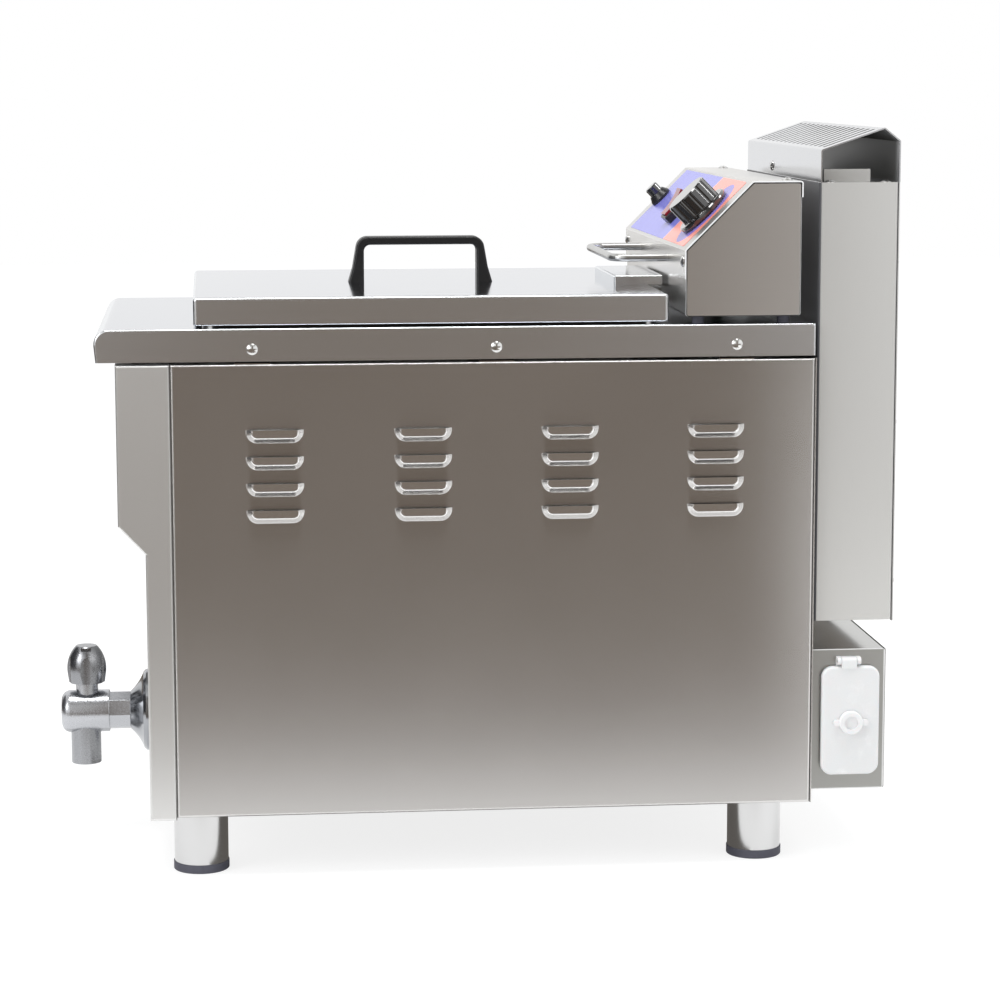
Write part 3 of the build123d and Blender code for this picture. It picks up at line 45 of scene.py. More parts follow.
# wraps a socket so that shader maths reads as plain sums
class Wire:
    def __init__(self, tree, socket=None):
        self.tree = tree
        self.socket = socket

    def node(self, kind, settings=None, sockets=None, out=0):
        made = self.tree.nodes.new(kind)
        for key, value in (settings or {}).items():
            setattr(made, key, value)
        for key, value in (sockets or {}).items():
            if isinstance(value, Wire):
                self.tree.links.new(value.socket, made.inputs[key])
            else:
                made.inputs[key].default_value = value
        return Wire(self.tree, made.outputs[out])

    def maths(self, operation, first, second=None, clamp=False):
        sockets = {0: first} if second is None else {0: first, 1: second}
        return self.node("ShaderNodeMath", {"operation": operation, "use_clamp": clamp}, sockets)

    def __add__(self, other):
        return self.maths("ADD", self, other)

    def __radd__(self, other):
        return self.maths("ADD", other, self)

    def __sub__(self, other):
        return self.maths("SUBTRACT", self, other)

    def __rsub__(self, other):
        return self.maths("SUBTRACT", other, self)

    def __mul__(self, other):
        return self.maths("MULTIPLY", self, other)

    def __gt__(self, other):
        return self.maths("GREATER_THAN", self, other)

    def clamp(self):
        return self.maths("ADD", self, 0.0, clamp=True)

    def size(self):
        return self.maths("ABSOLUTE", self)

    def root(self):
        return self.maths("SQRT", self)

    def smooth(self, low, high):
        return self.node("ShaderNodeMapRange", {"interpolation_type": "SMOOTHSTEP"},
                         {"Value": self, "From Min": low, "From Max": high})


def emptyTree(material):
    material.use_nodes = True
    material.node_tree.nodes.clear()
    return material.node_tree


# a bare material with one shader, and a wire to build on
def newFinish(name, **values):
    material = bpy.data.materials.new(name)
    tree = emptyTree(material)
    shader = tree.nodes.new("ShaderNodeBsdfPrincipled")
    output = tree.nodes.new("ShaderNodeOutputMaterial")
    tree.links.new(shader.outputs[0], output.inputs[0])
    for key, value in values.items():
        shader.inputs[key].default_value = value
    return material, shader, Wire(tree)


def feed(shader, wire, **sockets):
    for key, value in sockets.items():
        wire.tree.links.new(value.socket, shader.inputs[key.replace("_", " ")])


def places(wire):
    return wire.node("ShaderNodeTexCoord", out="Object")


def splitPlaces(wire, coords):
    parts = wire.node("ShaderNodeSeparateXYZ", None, {0: coords})
    made = parts.socket.node
    return [Wire(wire.tree, made.outputs[axis]) for axis in range(3)]


def grain(wire, coords, stretch, detail=2.0, rough=0.5):
    moved = wire.node("ShaderNodeMapping", None, {"Vector": coords, "Scale": stretch})
    return wire.node("ShaderNodeTexNoise", None,
                     {"Vector": moved, "Scale": 1.0, "Detail": detail, "Roughness": rough})


# the mix node's sockets go by number: 0 the factor, 4 and 5 vectors, 6 and 7 colours
def mixColour(wire, factor, first, second, blend="MIX"):
    return wire.node("ShaderNodeMix", {"data_type": "RGBA", "blend_type": blend},
                     {0: factor, 6: first, 7: second}, out=2)


def mixVector(wire, factor, first, second):
    return wire.node("ShaderNodeMix", {"data_type": "VECTOR"}, {0: factor, 4: first, 5: second}, out=1)


def bump(wire, height, strength, distance, base=None):
    sockets = {"Strength": strength, "Distance": distance, "Height": height}
    if base:
        sockets["Normal"] = base
    return wire.node("ShaderNodeBump", None, sockets)


def shade(tint, amount):
    return (*[min(1.0, channel * amount) for channel in tint], 1)


# what all brushed steel has in common: lengths in metres, pairs are the two ends of a soft step
steelShared = {
    "strokeNoise": (3.0, 0.6), "sweepNoise": (2.0, 0.5), "cloudNoise": (3.0, 0.55), "cloudScale": (7, 7, 7),
    "sweepScale": 0.3, "strokePart": 0.8, "sweepPart": 0.2, "dark": 0.86, "pale": 1.14, "depth": 0.0002,
    "axisAligned": 0.99995, "facingUp": (0.9, 0.99), "facingFront": (-0.9, -0.99), "facingSide": (0.90, 0.97),
    "seamHalf": (0.0011, 0.0004), "seamShadeFacing": (0.3, 0.9), "seamShadeTint": (0.05, 0.048, 0.045),
    "pressedStep": 0.0004, "turnedEdge": (0.985, 0.90), "deepShadeTint": (0.03, 0.03, 0.03), "shadeAboveStep": 0.0004,
    "rimShadeFrom": 0.0006, "rimShadeTo": 0.0002, "highlightLineHalf": (0.0010, 0.0005), "highlightLineTint": (0.80, 0.80, 0.79),
    "paintedShadeSide": (0.0, -0.02), "paintedShadeRough": 0.3,
}


# flat sheet keeps its own normal right up to a bend, curves keep the smooth one
def evenNormal(wire):
    smoothed = wire.node("ShaderNodeNewGeometry", out="Normal")
    true = wire.node("ShaderNodeNewGeometry", out="True Normal")
    x, y, z = splitPlaces(wire, true)
    largest = wire.maths("MAXIMUM", x.size(), wire.maths("MAXIMUM", y.size(), z.size()))
    return mixVector(wire, largest > steelShared["axisAligned"], smoothed, true)


# stainless sheet, with strokes of the brush along one axis
def brushedSteel(name, look):
    common = steelShared
    material, shader, wire = newFinish(
        name, Metallic=look["metal"], Anisotropic=look["stretch"], **{"Anisotropic Rotation": look["turn"]})
    coords = places(wire)
    fine = [look["across"]] * 3
    fine["XYZ".index(look["along"])] = look["run"]
    long = [value * common["sweepScale"] for value in fine]
    stroke = grain(wire, coords, fine, *common["strokeNoise"])
    sweep = grain(wire, coords, long, *common["sweepNoise"])
    cloud = grain(wire, coords, common["cloudScale"], *common["cloudNoise"])
    brush = stroke * common["strokePart"] + sweep * common["sweepPart"]
    tone = (brush - 0.5) * look["contrast"] + (cloud - 0.5) * look["patch"] + 0.5
    colour = mixColour(wire, tone.clamp(), shade(look["tint"], common["dark"]), shade(look["tint"], common["pale"]))
    rough = (brush - 0.5) * look["drag"] + (cloud - 0.5) * look["smear"] + look["rough"]
    x, y, z = splitPlaces(wire, coords)
    faceX, faceY, faceZ = splitPlaces(wire, wire.node("ShaderNodeNewGeometry", out="Normal"))
    # upward faces get a smoother polish, and painted shade multiplied into their colour
    if "flatRough" in look:
        flat = faceZ.smooth(*common["facingUp"])
        rough = rough + flat * (look["flatRough"] - look["rough"])
        colour = mixColour(wire, flat, colour, (*look["topShadeTint"], 1), "MULTIPLY")
    if "frontRough" in look:
        rough = rough + faceY.smooth(*common["facingFront"]) * (look["frontRough"] - look["rough"])
    # painted shade: the groove where the front return meets the side panel is darkened
    if "seamShadeAt" in look:
        seam = (y - look["seamShadeAt"]).size().smooth(*common["seamHalf"]) * faceX.size().smooth(*common["seamShadeFacing"])
        colour = mixColour(wire, seam, colour, (*common["seamShadeTint"], 1))
    # the pressed louvres get a smoother polish, and a paler colour that is a painted highlight
    if "pressedFrom" in look:
        pressed = x.size().smooth(look["pressedFrom"], look["pressedFrom"] + common["pressedStep"])
        rough = rough + pressed * (look["pressedRough"] - look["rough"])
        colour = mixColour(wire, pressed, colour, (*look["pressedHighlightTint"], 1))
    if "edgeShade" in look:
        turned = faceX.size().smooth(*common["turnedEdge"])
        colour = mixColour(wire, turned, colour, (*look["edgeShade"], 1))
    # painted shade on the panel above a height, where the skirt hides it
    if "shadedAbove" in look:
        shadeAboveMask = z.smooth(look["shadedAbove"], look["shadedAbove"] + common["shadeAboveStep"])
        colour = mixColour(wire, shadeAboveMask, colour, (*common["deepShadeTint"], 1))
    # painted shade on the outer edge of the tank's rim
    if "shadedBeyond" in look:
        rim = x.size().smooth(look["shadedBeyond"] - common["rimShadeFrom"], look["shadedBeyond"] - common["rimShadeTo"])
        colour = mixColour(wire, rim, colour, (*common["deepShadeTint"], 1))
    # painted highlight: pale lines along the rear box's edges, not metallic
    if "paintedHighlightLines" in look:
        line = 0.0
        for axis, place in look["paintedHighlightLines"]:
            near = ((x, y, z)["XYZ".index(axis)] - place).size().smooth(*common["highlightLineHalf"])
            line = wire.maths("MAXIMUM", near, line)
        line = line * faceX.size().smooth(*common["facingSide"])
        colour = mixColour(wire, line, colour, (*common["highlightLineTint"], 1))
        feed(shader, wire, Metallic=1 - line)
    # painted highlight: the sheet's side edges are pale and not metallic
    if "paintedEdgeHighlight" in look:
        edge = faceX.size().smooth(*common["facingSide"])
        colour = mixColour(wire, edge, colour, (*look["paintedEdgeHighlight"], 1))
        feed(shader, wire, Metallic=1 - edge)
    # painted shade on the faces turned towards a middle plane: the flue's front face and the inside of the cap are
    # darkened and dulled
    if "paintedShadeMiddle" in look:
        inside = (faceY * (y - look["paintedShadeMiddle"])).smooth(*common["paintedShadeSide"])
        paintedShade = inside * x.size().smooth(*look["paintedShadeFade"])
        colour = mixColour(wire, paintedShade, colour, (*look["paintedShade"], 1))
        feed(shader, wire, Metallic=(1 - paintedShade) * look["metal"])
        rough = rough + paintedShade * common["paintedShadeRough"]
    feed(shader, wire, Base_Color=colour, Roughness=rough.clamp(),
         Normal=bump(wire, brush, look["relief"], common["depth"], evenNormal(wire)))
    return material


platedShared = {
    "cloudScale": (18, 18, 18), "cloudNoise": (4.0, 0.6), "spanglePart": 0.5, "cloudPart": 0.5, "dark": 0.78,
    "pale": 1.12, "spangleRough": 0.18, "cloudRough": 0.12, "relief": 0.08, "depth": 0.0004,
}


# zinc plated sheet, with a faint spangle
def platedSteel(name, look):
    common = platedShared
    material, shader, wire = newFinish(name, Metallic=1.0)
    coords = places(wire)
    spangle = wire.node("ShaderNodeTexVoronoi", None, {"Vector": coords, "Scale": look["spangle"]}, out="Color")
    grey = wire.node("ShaderNodeRGBToBW", None, {0: spangle})
    cloud = grain(wire, coords, common["cloudScale"], *common["cloudNoise"])
    tone = grey * common["spanglePart"] + cloud * common["cloudPart"]
    colour = mixColour(wire, tone, shade(look["tint"], common["dark"]), shade(look["tint"], common["pale"]))
    rough = look["rough"] + (grey - 0.5) * common["spangleRough"] + (cloud - 0.5) * common["cloudRough"]
    feed(shader, wire, Base_Color=colour, Roughness=rough.clamp(),
         Normal=bump(wire, cloud, common["relief"], common["depth"]))
    return material


brightShared = {
    "skinNoise": (3.0, 0.6), "cloudScale": (30, 30, 30), "cloudNoise": (2.0, 0.5), "dark": 0.92, "pale": 1.06,
    "darkerStep": 0.001, "cloudRough": 0.06, "depth": 0.0003,
}


# bright plating over a cast or turned body
def brightPlate(name, look):
    common = brightShared
    material, shader, wire = newFinish(name, Metallic=1.0)
    coords = places(wire)
    skin = grain(wire, coords, [look["skin"]] * 3, *common["skinNoise"])
    cloud = grain(wire, coords, common["cloudScale"], *common["cloudNoise"])
    colour = mixColour(wire, cloud, shade(look["tint"], common["dark"]), shade(look["tint"], common["pale"]))
    # the colour is darker below a height, on the spout
    if "darkerBelow" in look:
        height = splitPlaces(wire, coords)[2]
        low = height.smooth(look["darkerBelow"] + common["darkerStep"], look["darkerBelow"] - common["darkerStep"])
        colour = mixColour(wire, low, colour, shade(look["tint"], look["darkerTint"]))
    rough = look["rough"] + (skin - 0.5) * look["pits"] + (cloud - 0.5) * common["cloudRough"]
    feed(shader, wire, Base_Color=colour, Roughness=rough.clamp(),
         Normal=bump(wire, skin, look["relief"], common["depth"]))
    return material


mouldedShared = {
    "index": 1.5, "coatRough": 0.04, "glowScale": 0.002, "glowRadius": (1.0, 0.5, 0.4), "skinNoise": (3.0, 0.6),
    "dustScale": (60, 60, 60), "dustNoise": (5.0, 0.7), "dustStep": (0.52, 0.75), "skinPart": 0.6, "dustPart": 0.4,
    "dark": 0.85, "skinRough": 0.1, "dustRough": 0.08, "depth": 0.0003,
}


# moulded plastic, rubber and glaze: a fine skin and a little dust
def moulded(name, look):
    common = mouldedShared
    material, shader, wire = newFinish(name, **{
        "IOR": common["index"], "Specular IOR Level": look["gloss"], "Coat Weight": look["coat"],
        "Coat IOR": look["coatIndex"], "Coat Roughness": common["coatRough"], "Subsurface Weight": look["glow"],
        "Subsurface Scale": common["glowScale"], "Subsurface Radius": common["glowRadius"]})
    coords = places(wire)
    skin = grain(wire, coords, [look["skin"]] * 3, *common["skinNoise"])
    dust = grain(wire, coords, common["dustScale"], *common["dustNoise"]).smooth(*common["dustStep"])
    tone = skin * common["skinPart"] + dust * common["dustPart"]
    colour = mixColour(wire, tone, shade(look["tint"], common["dark"]), shade(look["tint"], look["lift"]))
    rough = look["rough"] + (skin - 0.5) * common["skinRough"] + dust * common["dustRough"]
    feed(shader, wire, Base_Color=colour, Roughness=rough.clamp(),
         Normal=bump(wire, skin, look["relief"], common["depth"]))
    return material


# painted shade: the side panel is darkened where the skirt hides it, the tank's rim where the worktop lies on it
skirtCover = 0.0178
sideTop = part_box("side_panel_right")[1][2] - skirtCover
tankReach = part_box("oil_tank")[1][0]
rearLow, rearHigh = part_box("rear_box")
steelBase = {
    "along": "Y", "run": 40, "across": 1400, "stretch": 0.0, "turn": 0.0, "metal": 1.0, "contrast": 0.15,
    "patch": 0.0, "smear": 0.02, "relief": 0.004, "drag": 0.02, "topShadeTint": (1, 1, 1),
}
steelLooks = {
    "sideSteel": {
        "run": 60, "across": 2600, "tint": (0.69, 0.68, 0.67), "rough": 0.22, "stretch": 1.0, "turn": 0.25,
        "contrast": 0.22, "patch": 0.30, "relief": 0.006, "shadedAbove": sideTop, "seamShadeAt": -0.225,
        "pressedFrom": 0.1562, "pressedRough": 0.17, "pressedHighlightTint": (0.86, 0.855, 0.85)},
    "topSteel": {
        "run": 60, "across": 2600, "tint": (0.83, 0.85, 0.87), "rough": 0.24, "contrast": 0.24,
        "relief": 0.006, "flatRough": 0.10, "topShadeTint": (0.56, 0.57, 0.61)},
    "frontSteel": {
        "along": "X", "run": 60, "across": 2600, "tint": (0.82, 0.82, 0.81), "rough": 0.48, "stretch": 0.5,
        "seamShadeAt": -0.225},
    "flueSteel": {
        "along": "Z", "run": 60, "across": 2600, "tint": (0.665, 0.66, 0.642), "metal": 0.5, "rough": 0.22,
        "stretch": 0.9, "turn": 0.25, "paintedShadeMiddle": 0.20, "paintedShadeFade": (1.0, 0.9), "paintedShade": (0.085, 0.085, 0.092)},
    "capSteel": {
        "along": "X", "tint": (0.64, 0.65, 0.67), "rough": 0.14, "paintedShadeMiddle": 0.2835,
        "paintedShadeFade": (0.156, 0.135), "paintedShade": (0.095, 0.094, 0.09)},
    "boxSteel": {
        "tint": (0.72, 0.71, 0.69), "rough": 0.33, "stretch": 0.6, "turn": 0.25, "smear": 0.03,
        "frontRough": 0.26, "paintedEdgeHighlight": (0.90, 0.90, 0.90)},
    "endSteel": {
        "tint": (0.68, 0.66, 0.64), "rough": 0.33, "stretch": 0.6, "turn": 0.25, "smear": 0.03,
        "edgeShade": (0.06, 0.058, 0.055)},
    "rearSteel": {
        "tint": (0.42, 0.42, 0.405), "rough": 0.33, "stretch": 0.6, "turn": 0.25, "contrast": 0.2,
        "smear": 0.03, "relief": 0.005, "drag": 0.03, "flatRough": 0.12,
        "paintedHighlightLines": (("Z", rearLow[2]), ("Z", rearHigh[2]), ("Y", rearHigh[1]))},
    "rodSteel": {
        "along": "X", "run": 60, "tint": (0.55, 0.55, 0.54), "rough": 0.30, "contrast": 0.1, "smear": 0.05,
        "relief": 0.005, "drag": 0.03},
    "tankSteel": {
        "along": "Z", "tint": (0.66, 0.65, 0.63), "rough": 0.30, "contrast": 0.4, "smear": 0.10, "relief": 0.03,
        "drag": 0.08, "shadedBeyond": tankReach},
    "footSteel": {
        "along": "Z", "run": 60, "tint": (0.66, 0.66, 0.66), "rough": 0.20, "contrast": 0.3, "smear": 0.05,
        "relief": 0.02, "drag": 0.06},
}
finishes = {name: brushedSteel(name, {**steelBase, **look}) for name, look in steelLooks.items()}

platedLooks = {
    "zincSheet": {"tint": (0.60, 0.61, 0.62), "rough": 0.42, "spangle": 90},
    "burnerSteel": {"tint": (0.42, 0.40, 0.38), "rough": 0.50, "spangle": 60},
}
finishes.update({name: platedSteel(name, look) for name, look in platedLooks.items()})

plateLooks = {
    "tapChrome": {"tint": (0.55, 0.56, 0.585), "rough": 0.27, "skin": 1200, "pits": 0.14, "relief": 0.09,
                  "darkerBelow": 0.0845, "darkerTint": 0.72},
    "handleChrome": {"tint": (0.33, 0.335, 0.35), "rough": 0.27, "skin": 900, "pits": 0.08, "relief": 0.04},
    "coverChrome": {"tint": (0.38, 0.39, 0.41), "rough": 0.16, "skin": 900, "pits": 0.10, "relief": 0.06},
    "screwSteel": {"tint": (0.78, 0.78, 0.77), "rough": 0.22, "skin": 1500, "pits": 0.10, "relief": 0.05},
    "brassFitting": {"tint": (0.74, 0.56, 0.28), "rough": 0.28, "skin": 700, "pits": 0.12, "relief": 0.06},
}
finishes.update({name: brightPlate(name, look) for name, look in plateLooks.items()})

mouldedBase = {"gloss": 0.5, "coat": 0.0, "coatIndex": 1.5, "glow": 0.0}
mouldedLooks = {
    "knobBlack": {"tint": (0.004, 0.004, 0.0045), "lift": 2.0, "rough": 0.06, "skin": 500, "relief": 0.02,
                  "gloss": 0.8, "coat": 1.0, "coatIndex": 1.65},
    "handleBlack": {"tint": (0.005, 0.005, 0.0055), "lift": 2.0, "rough": 0.42, "skin": 1800, "relief": 0.12},
    "bezelBlack": {"tint": (0.014, 0.014, 0.015), "lift": 2.0, "rough": 0.28, "skin": 1200, "relief": 0.06},
    "rockerRed": {"tint": (0.28, 0.015, 0.03), "lift": 1.1, "rough": 0.10, "skin": 600, "relief": 0.03,
                  "glow": 0.35},
    "caseWhite": {"tint": (0.88, 0.88, 0.88), "lift": 1.03, "rough": 0.40, "skin": 1600, "relief": 0.06,
                  "glow": 0.15},
    "latchWhite": {"tint": (0.94, 0.94, 0.94), "lift": 1.03, "rough": 0.36, "skin": 1600, "relief": 0.06,
                   "glow": 0.15},
    "footRubber": {"tint": (0.085, 0.085, 0.11), "lift": 1.5, "rough": 0.62, "skin": 1400, "relief": 0.12},
    "leadRubber": {"tint": (0.45, 0.06, 0.05), "lift": 1.2, "rough": 0.5, "skin": 1200, "relief": 0.06},
    "sparkGlaze": {"tint": (0.82, 0.80, 0.74), "lift": 1.05, "rough": 0.25, "skin": 800, "relief": 0.03},
}
finishes.update({name: moulded(name, {**mouldedBase, **look}) for name, look in mouldedLooks.items()})


# printed film on the sloped face: a blue field, a warm band and a disc behind the dial
labelLook = {
    "field": (0.17, 0.17, 0.68), "band": (0.92, 0.27, 0.20), "disc": (0.20, 0.14, 0.62), "line": (0.85, 0.85, 0.9),
    "bandFrom": 0.038, "discAt": (0.102, 0.034), "discRadius": 0.030, "slopeStart": (0.1526, 0.465), "slope": 45,
    "step": 0.0003, "seamHalf": (0.0008, 0.0004), "seamPart": 0.5, "haze": (0.9, 0.9, 0.95), "dotPart": 0.10,
    "cloudPart": 0.06, "dotScale": (900, 900, 900), "cloudScale": (25, 25, 25), "rough": 0.22, "cloudRough": 0.1,
    "relief": 0.05, "depth": 0.0005,
}
slopeRise = math.sin(math.radians(labelLook["slope"]))


def printedFilm():
    look = labelLook
    material, shader, wire = newFinish("printedFilm", IOR=1.5)
    coords = places(wire)
    x, y, z = splitPlaces(wire, coords)
    up = (y - look["slopeStart"][0]) * slopeRise + (z - look["slopeStart"][1]) * slopeRise
    side = x - look["discAt"][0]
    rise = up - look["discAt"][1]
    reach = (side * side + rise * rise).root()
    dots = grain(wire, coords, look["dotScale"])
    cloud = grain(wire, coords, look["cloudScale"])
    inBand = x.smooth(look["bandFrom"] - look["step"], look["bandFrom"] + look["step"])
    inDisc = reach.smooth(look["discRadius"] + look["step"], look["discRadius"] - look["step"])
    seam = (x - look["bandFrom"]).size().smooth(*look["seamHalf"])
    colour = mixColour(wire, inBand, (*look["field"], 1), (*look["band"], 1))
    colour = mixColour(wire, seam * look["seamPart"], colour, (*look["line"], 1))
    colour = mixColour(wire, inDisc, colour, (*look["disc"], 1))
    haze = dots * look["dotPart"] + cloud * look["cloudPart"]
    colour = mixColour(wire, haze, colour, (*look["haze"], 1))
    rough = look["rough"] + (cloud - 0.5) * look["cloudRough"]
    feed(shader, wire, Base_Color=colour, Roughness=rough,
         Normal=bump(wire, cloud, look["relief"], look["depth"]))
    return material


finishes["printedFilm"] = printedFilm()
print("finishes made:", len(finishes))

wear = {
    "sideSteel": ["side_panel_right", "side_panel_left", "rear_panel"],
    "frontSteel": ["front_panel"],
    "topSteel": ["worktop", "lid_pan", "lid_pocket"],
    "flueSteel": ["flue_body", "flue_rear_cover"],
    "capSteel": ["flue_cap"],
    "boxSteel": ["control_panel", "control_base"],
    "endSteel": ["control_end_left", "control_end_right"],
    "rearSteel": ["rear_box", "rear_box_cover"],
    "rodSteel": ["basket_hanger", "thermostat_probe", "thermostat_shaft"],
    "tankSteel": ["oil_tank", "probe_bracket"],
    "footSteel": ["foot_front_left", "foot_front_right", "foot_rear_left", "foot_rear_right"],
    "zincSheet": ["base_tray", "combustion_jacket", "flue_duct", "burner_brackets",
                  "battery_contacts", "battery_hinge_pin", "gas_pipe", "thermostat_body", "drain_pipe"],
    "burnerSteel": ["burner"],
    "tapChrome": ["tap_body"],
    "handleChrome": ["tap_handle", "tap_stem"],
    "coverChrome": ["tap_escutcheon"],
    "screwSteel": ["panel_screws", "lid_handle_screws"],
    "brassFitting": ["injector", "gas_inlet", "gas_valve"],
    "knobBlack": ["thermostat_knob", "ignition_button"],
    "handleBlack": ["lid_handle", "igniter_module"],
    "bezelBlack": ["rocker_bezel", "button_collar"],
    "rockerRed": ["rocker"],
    "caseWhite": ["battery_case", "battery_cover"],
    "latchWhite": ["battery_latch"],
    "footRubber": ["foot_caps", "control_spacers"],
    "leadRubber": ["ignition_lead"],
    "sparkGlaze": ["spark_electrode"],
    "printedFilm": ["control_label"],
}


def dress(piece, finish):
    piece.data.materials.clear()
    piece.data.materials.append(finish)


for finish, names in wear.items():
    for name in names:
        dress(nodes[name], finishes[finish])
print("nodes dressed:", sum(len(names) for names in wear.values()))


# tap casting with an eight sided nut, bored like the solid it stands for
tapLook = {
    "barrelRadius": 0.0166, "barrelLength": 0.0375, "dome": 0.007, "domeSteps": 12, "smoothTo": 10,
    "nutCorner": 0.0152, "nutLength": 0.0165, "nutSides": 8, "nutTurn": 3.9, "nutEdge": 0.0005,
    "spigotRadius": 0.010, "pipeBore": 0.008, "outletBack": 0.0185, "outletRadius": 0.0117, "outletBore": 0.0085,
    "outletDrop": 0.041, "bonnetBack": 0.020, "bonnetRadius": 0.0086, "stemBore": 0.0042, "rim": 0.0006,
    "edgeSteps": 2, "bite": 0.002, "sides": 72, "onRim": 1e-6,
}


def roundBar(start, end, radius, sides=tapLook["sides"], turn=0.0):
    start, end = Vector(start), Vector(end)
    lean = math.pi / 2 if abs(end.y - start.y) > abs(end.z - start.z) else 0.0
    bpy.ops.object.select_all(action="DESELECT")
    bpy.ops.mesh.primitive_cylinder_add(
        vertices=sides, radius=radius, depth=(end - start).length, location=(start + end) / 2,
        rotation=(lean, turn, 0))
    bpy.ops.object.transform_apply(location=True, rotation=True, scale=True)
    return bpy.context.active_object


def softenRim(piece, axis, place, width, steps):
    bpy.context.view_layer.objects.active = piece
    bpy.ops.object.mode_set(mode="EDIT")
    bpy.ops.mesh.select_all(action="DESELECT")
    bpy.ops.object.mode_set(mode="OBJECT")
    onRim = [abs(vertex.co[axis] - place) < tapLook["onRim"] for vertex in piece.data.vertices]
    for vertex in piece.data.vertices:
        vertex.select = onRim[vertex.index]
    for edge in piece.data.edges:
        edge.select = all(onRim[index] for index in edge.vertices)
    bpy.ops.object.mode_set(mode="EDIT")
    bpy.ops.mesh.bevel(offset=width, segments=steps, affect="EDGES")
    bpy.ops.object.mode_set(mode="OBJECT")


def combine(body, other, operation):
    bpy.ops.object.select_all(action="DESELECT")
    bpy.context.view_layer.objects.active = body
    bpy.ops.object.modifier_add(type="BOOLEAN")
    step = body.modifiers[-1]
    step.operation = operation
    step.solver = "EXACT"
    step.object = other
    bpy.ops.object.modifier_apply(modifier=step.name)
    bpy.data.objects.remove(other, do_unlink=True)


def addTap():
    look = tapLook
    low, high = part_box("tap_body")
    tip, axis, bite = low.y, low.z + look["outletDrop"], look["bite"]
    barrelEnd = tip + look["barrelLength"]
    nutEnd = barrelEnd + look["nutLength"]
    outletAt, bonnetAt = tip + look["outletBack"], tip + look["bonnetBack"]
    body = roundBar((0, tip, axis), (0, barrelEnd, axis), look["barrelRadius"])
    softenRim(body, 1, tip, look["dome"], look["domeSteps"])
    softenRim(body, 1, barrelEnd, look["rim"], look["edgeSteps"])
    nut = roundBar((0, barrelEnd - bite, axis), (0, nutEnd, axis), look["nutCorner"], look["nutSides"],
                   math.radians(look["nutTurn"]))
    bpy.ops.object.modifier_add(type="BEVEL")
    nut.modifiers[-1].width = look["nutEdge"]
    nut.modifiers[-1].segments = look["edgeSteps"]
    bpy.ops.object.modifier_apply(modifier=nut.modifiers[-1].name)
    outlet = roundBar((0, outletAt, low.z), (0, outletAt, axis), look["outletRadius"])
    softenRim(outlet, 2, low.z, look["rim"], look["edgeSteps"])
    bonnet = roundBar((0, bonnetAt, axis), (0, bonnetAt, high.z), look["bonnetRadius"])
    spigot = roundBar((0, nutEnd - bite, axis), (0, high.y, axis), look["spigotRadius"])
    for piece in (nut, outlet, bonnet, spigot):
        combine(body, piece, "UNION")
    bores = (
        roundBar((0, outletAt, axis), (0, high.y + bite, axis), look["pipeBore"]),
        roundBar((0, outletAt, low.z - bite), (0, outletAt, axis), look["outletBore"]),
        roundBar((0, bonnetAt, axis), (0, bonnetAt, high.z + bite), look["stemBore"]),
    )
    for bore in bores:
        combine(body, bore, "DIFFERENCE")
    bpy.ops.object.select_all(action="DESELECT")
    body.select_set(True)
    bpy.context.view_layer.objects.active = body
    bpy.ops.object.shade_smooth_by_angle(angle=math.radians(look["smoothTo"]))
    body.name = "tapCasting"
    dress(body, finishes["tapChrome"])
    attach(body, "cabinet")
    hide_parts("tap_body")


addTap()
print("tap cast")


# numbers printed round the dial's skirt
dialLook = {
    "numbers": ("0", "60", "90", "120", "150", "180", "200"), "firstTurn": 240, "lastTurn": -60,
    "digitHeight": 0.0030, "ring": 0.0191, "lift": 0.00535, "thickness": 0.00004, "tint": (0.88, 0.88, 0.86),
    "speckScale": (2500, 2500, 2500), "dark": 0.9, "pale": 1.05, "rough": 0.35, "speckRough": 0.15,
}


def slopePlace(across, rise, lift):
    start = labelLook["slopeStart"]
    return Vector((across, start[0] + (rise - lift) * slopeRise, start[1] + (rise + lift) * slopeRise))


def paintedMark(name, look):
    material, shader, wire = newFinish(name, IOR=1.5)
    speck = grain(wire, places(wire), look["speckScale"])
    colour = mixColour(wire, speck, shade(look["tint"], look["dark"]), shade(look["tint"], look["pale"]))
    feed(shader, wire, Base_Color=colour, Roughness=look["rough"] + speck * look["speckRough"])
    return material


def addDialNumbers():
    look = dialLook
    across, rise = labelLook["discAt"]
    tilt = Matrix.Rotation(math.radians(labelLook["slope"]), 4, "X")
    made = []
    for place, number in enumerate(look["numbers"]):
        part = place / (len(look["numbers"]) - 1)
        turn = math.radians(look["firstTurn"] + (look["lastTurn"] - look["firstTurn"]) * part)
        bpy.ops.object.select_all(action="DESELECT")
        bpy.ops.object.text_add(location=(0, 0, 0))
        digits = bpy.context.active_object
        digits.data.body = number
        digits.data.size = look["digitHeight"]
        digits.data.extrude = look["thickness"]
        digits.data.align_x = "CENTER"
        digits.data.align_y = "CENTER"
        bpy.ops.object.convert(target="MESH")
        digits = bpy.context.active_object
        sideways, upward = look["ring"] * math.cos(turn), look["ring"] * math.sin(turn)
        seat = slopePlace(across + sideways, rise + upward, look["lift"])
        digits.matrix_world = Matrix.Translation(seat) @ tilt @ Matrix.Rotation(turn - math.pi / 2, 4, "Z")
        bpy.ops.object.transform_apply(location=True, rotation=True, scale=True)
        made.append(digits)
    for digits in made:
        digits.select_set(True)
    bpy.context.view_layer.objects.active = made[0]
    bpy.ops.object.join()
    bpy.ops.object.origin_set(type="ORIGIN_CURSOR")
    dial = bpy.context.active_object
    dial.name = "dialNumbers"
    dress(dial, paintedMark("dialPaint", look))
    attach(dial, "thermostat_control")


addDialNumbers()
print("dial numbered")


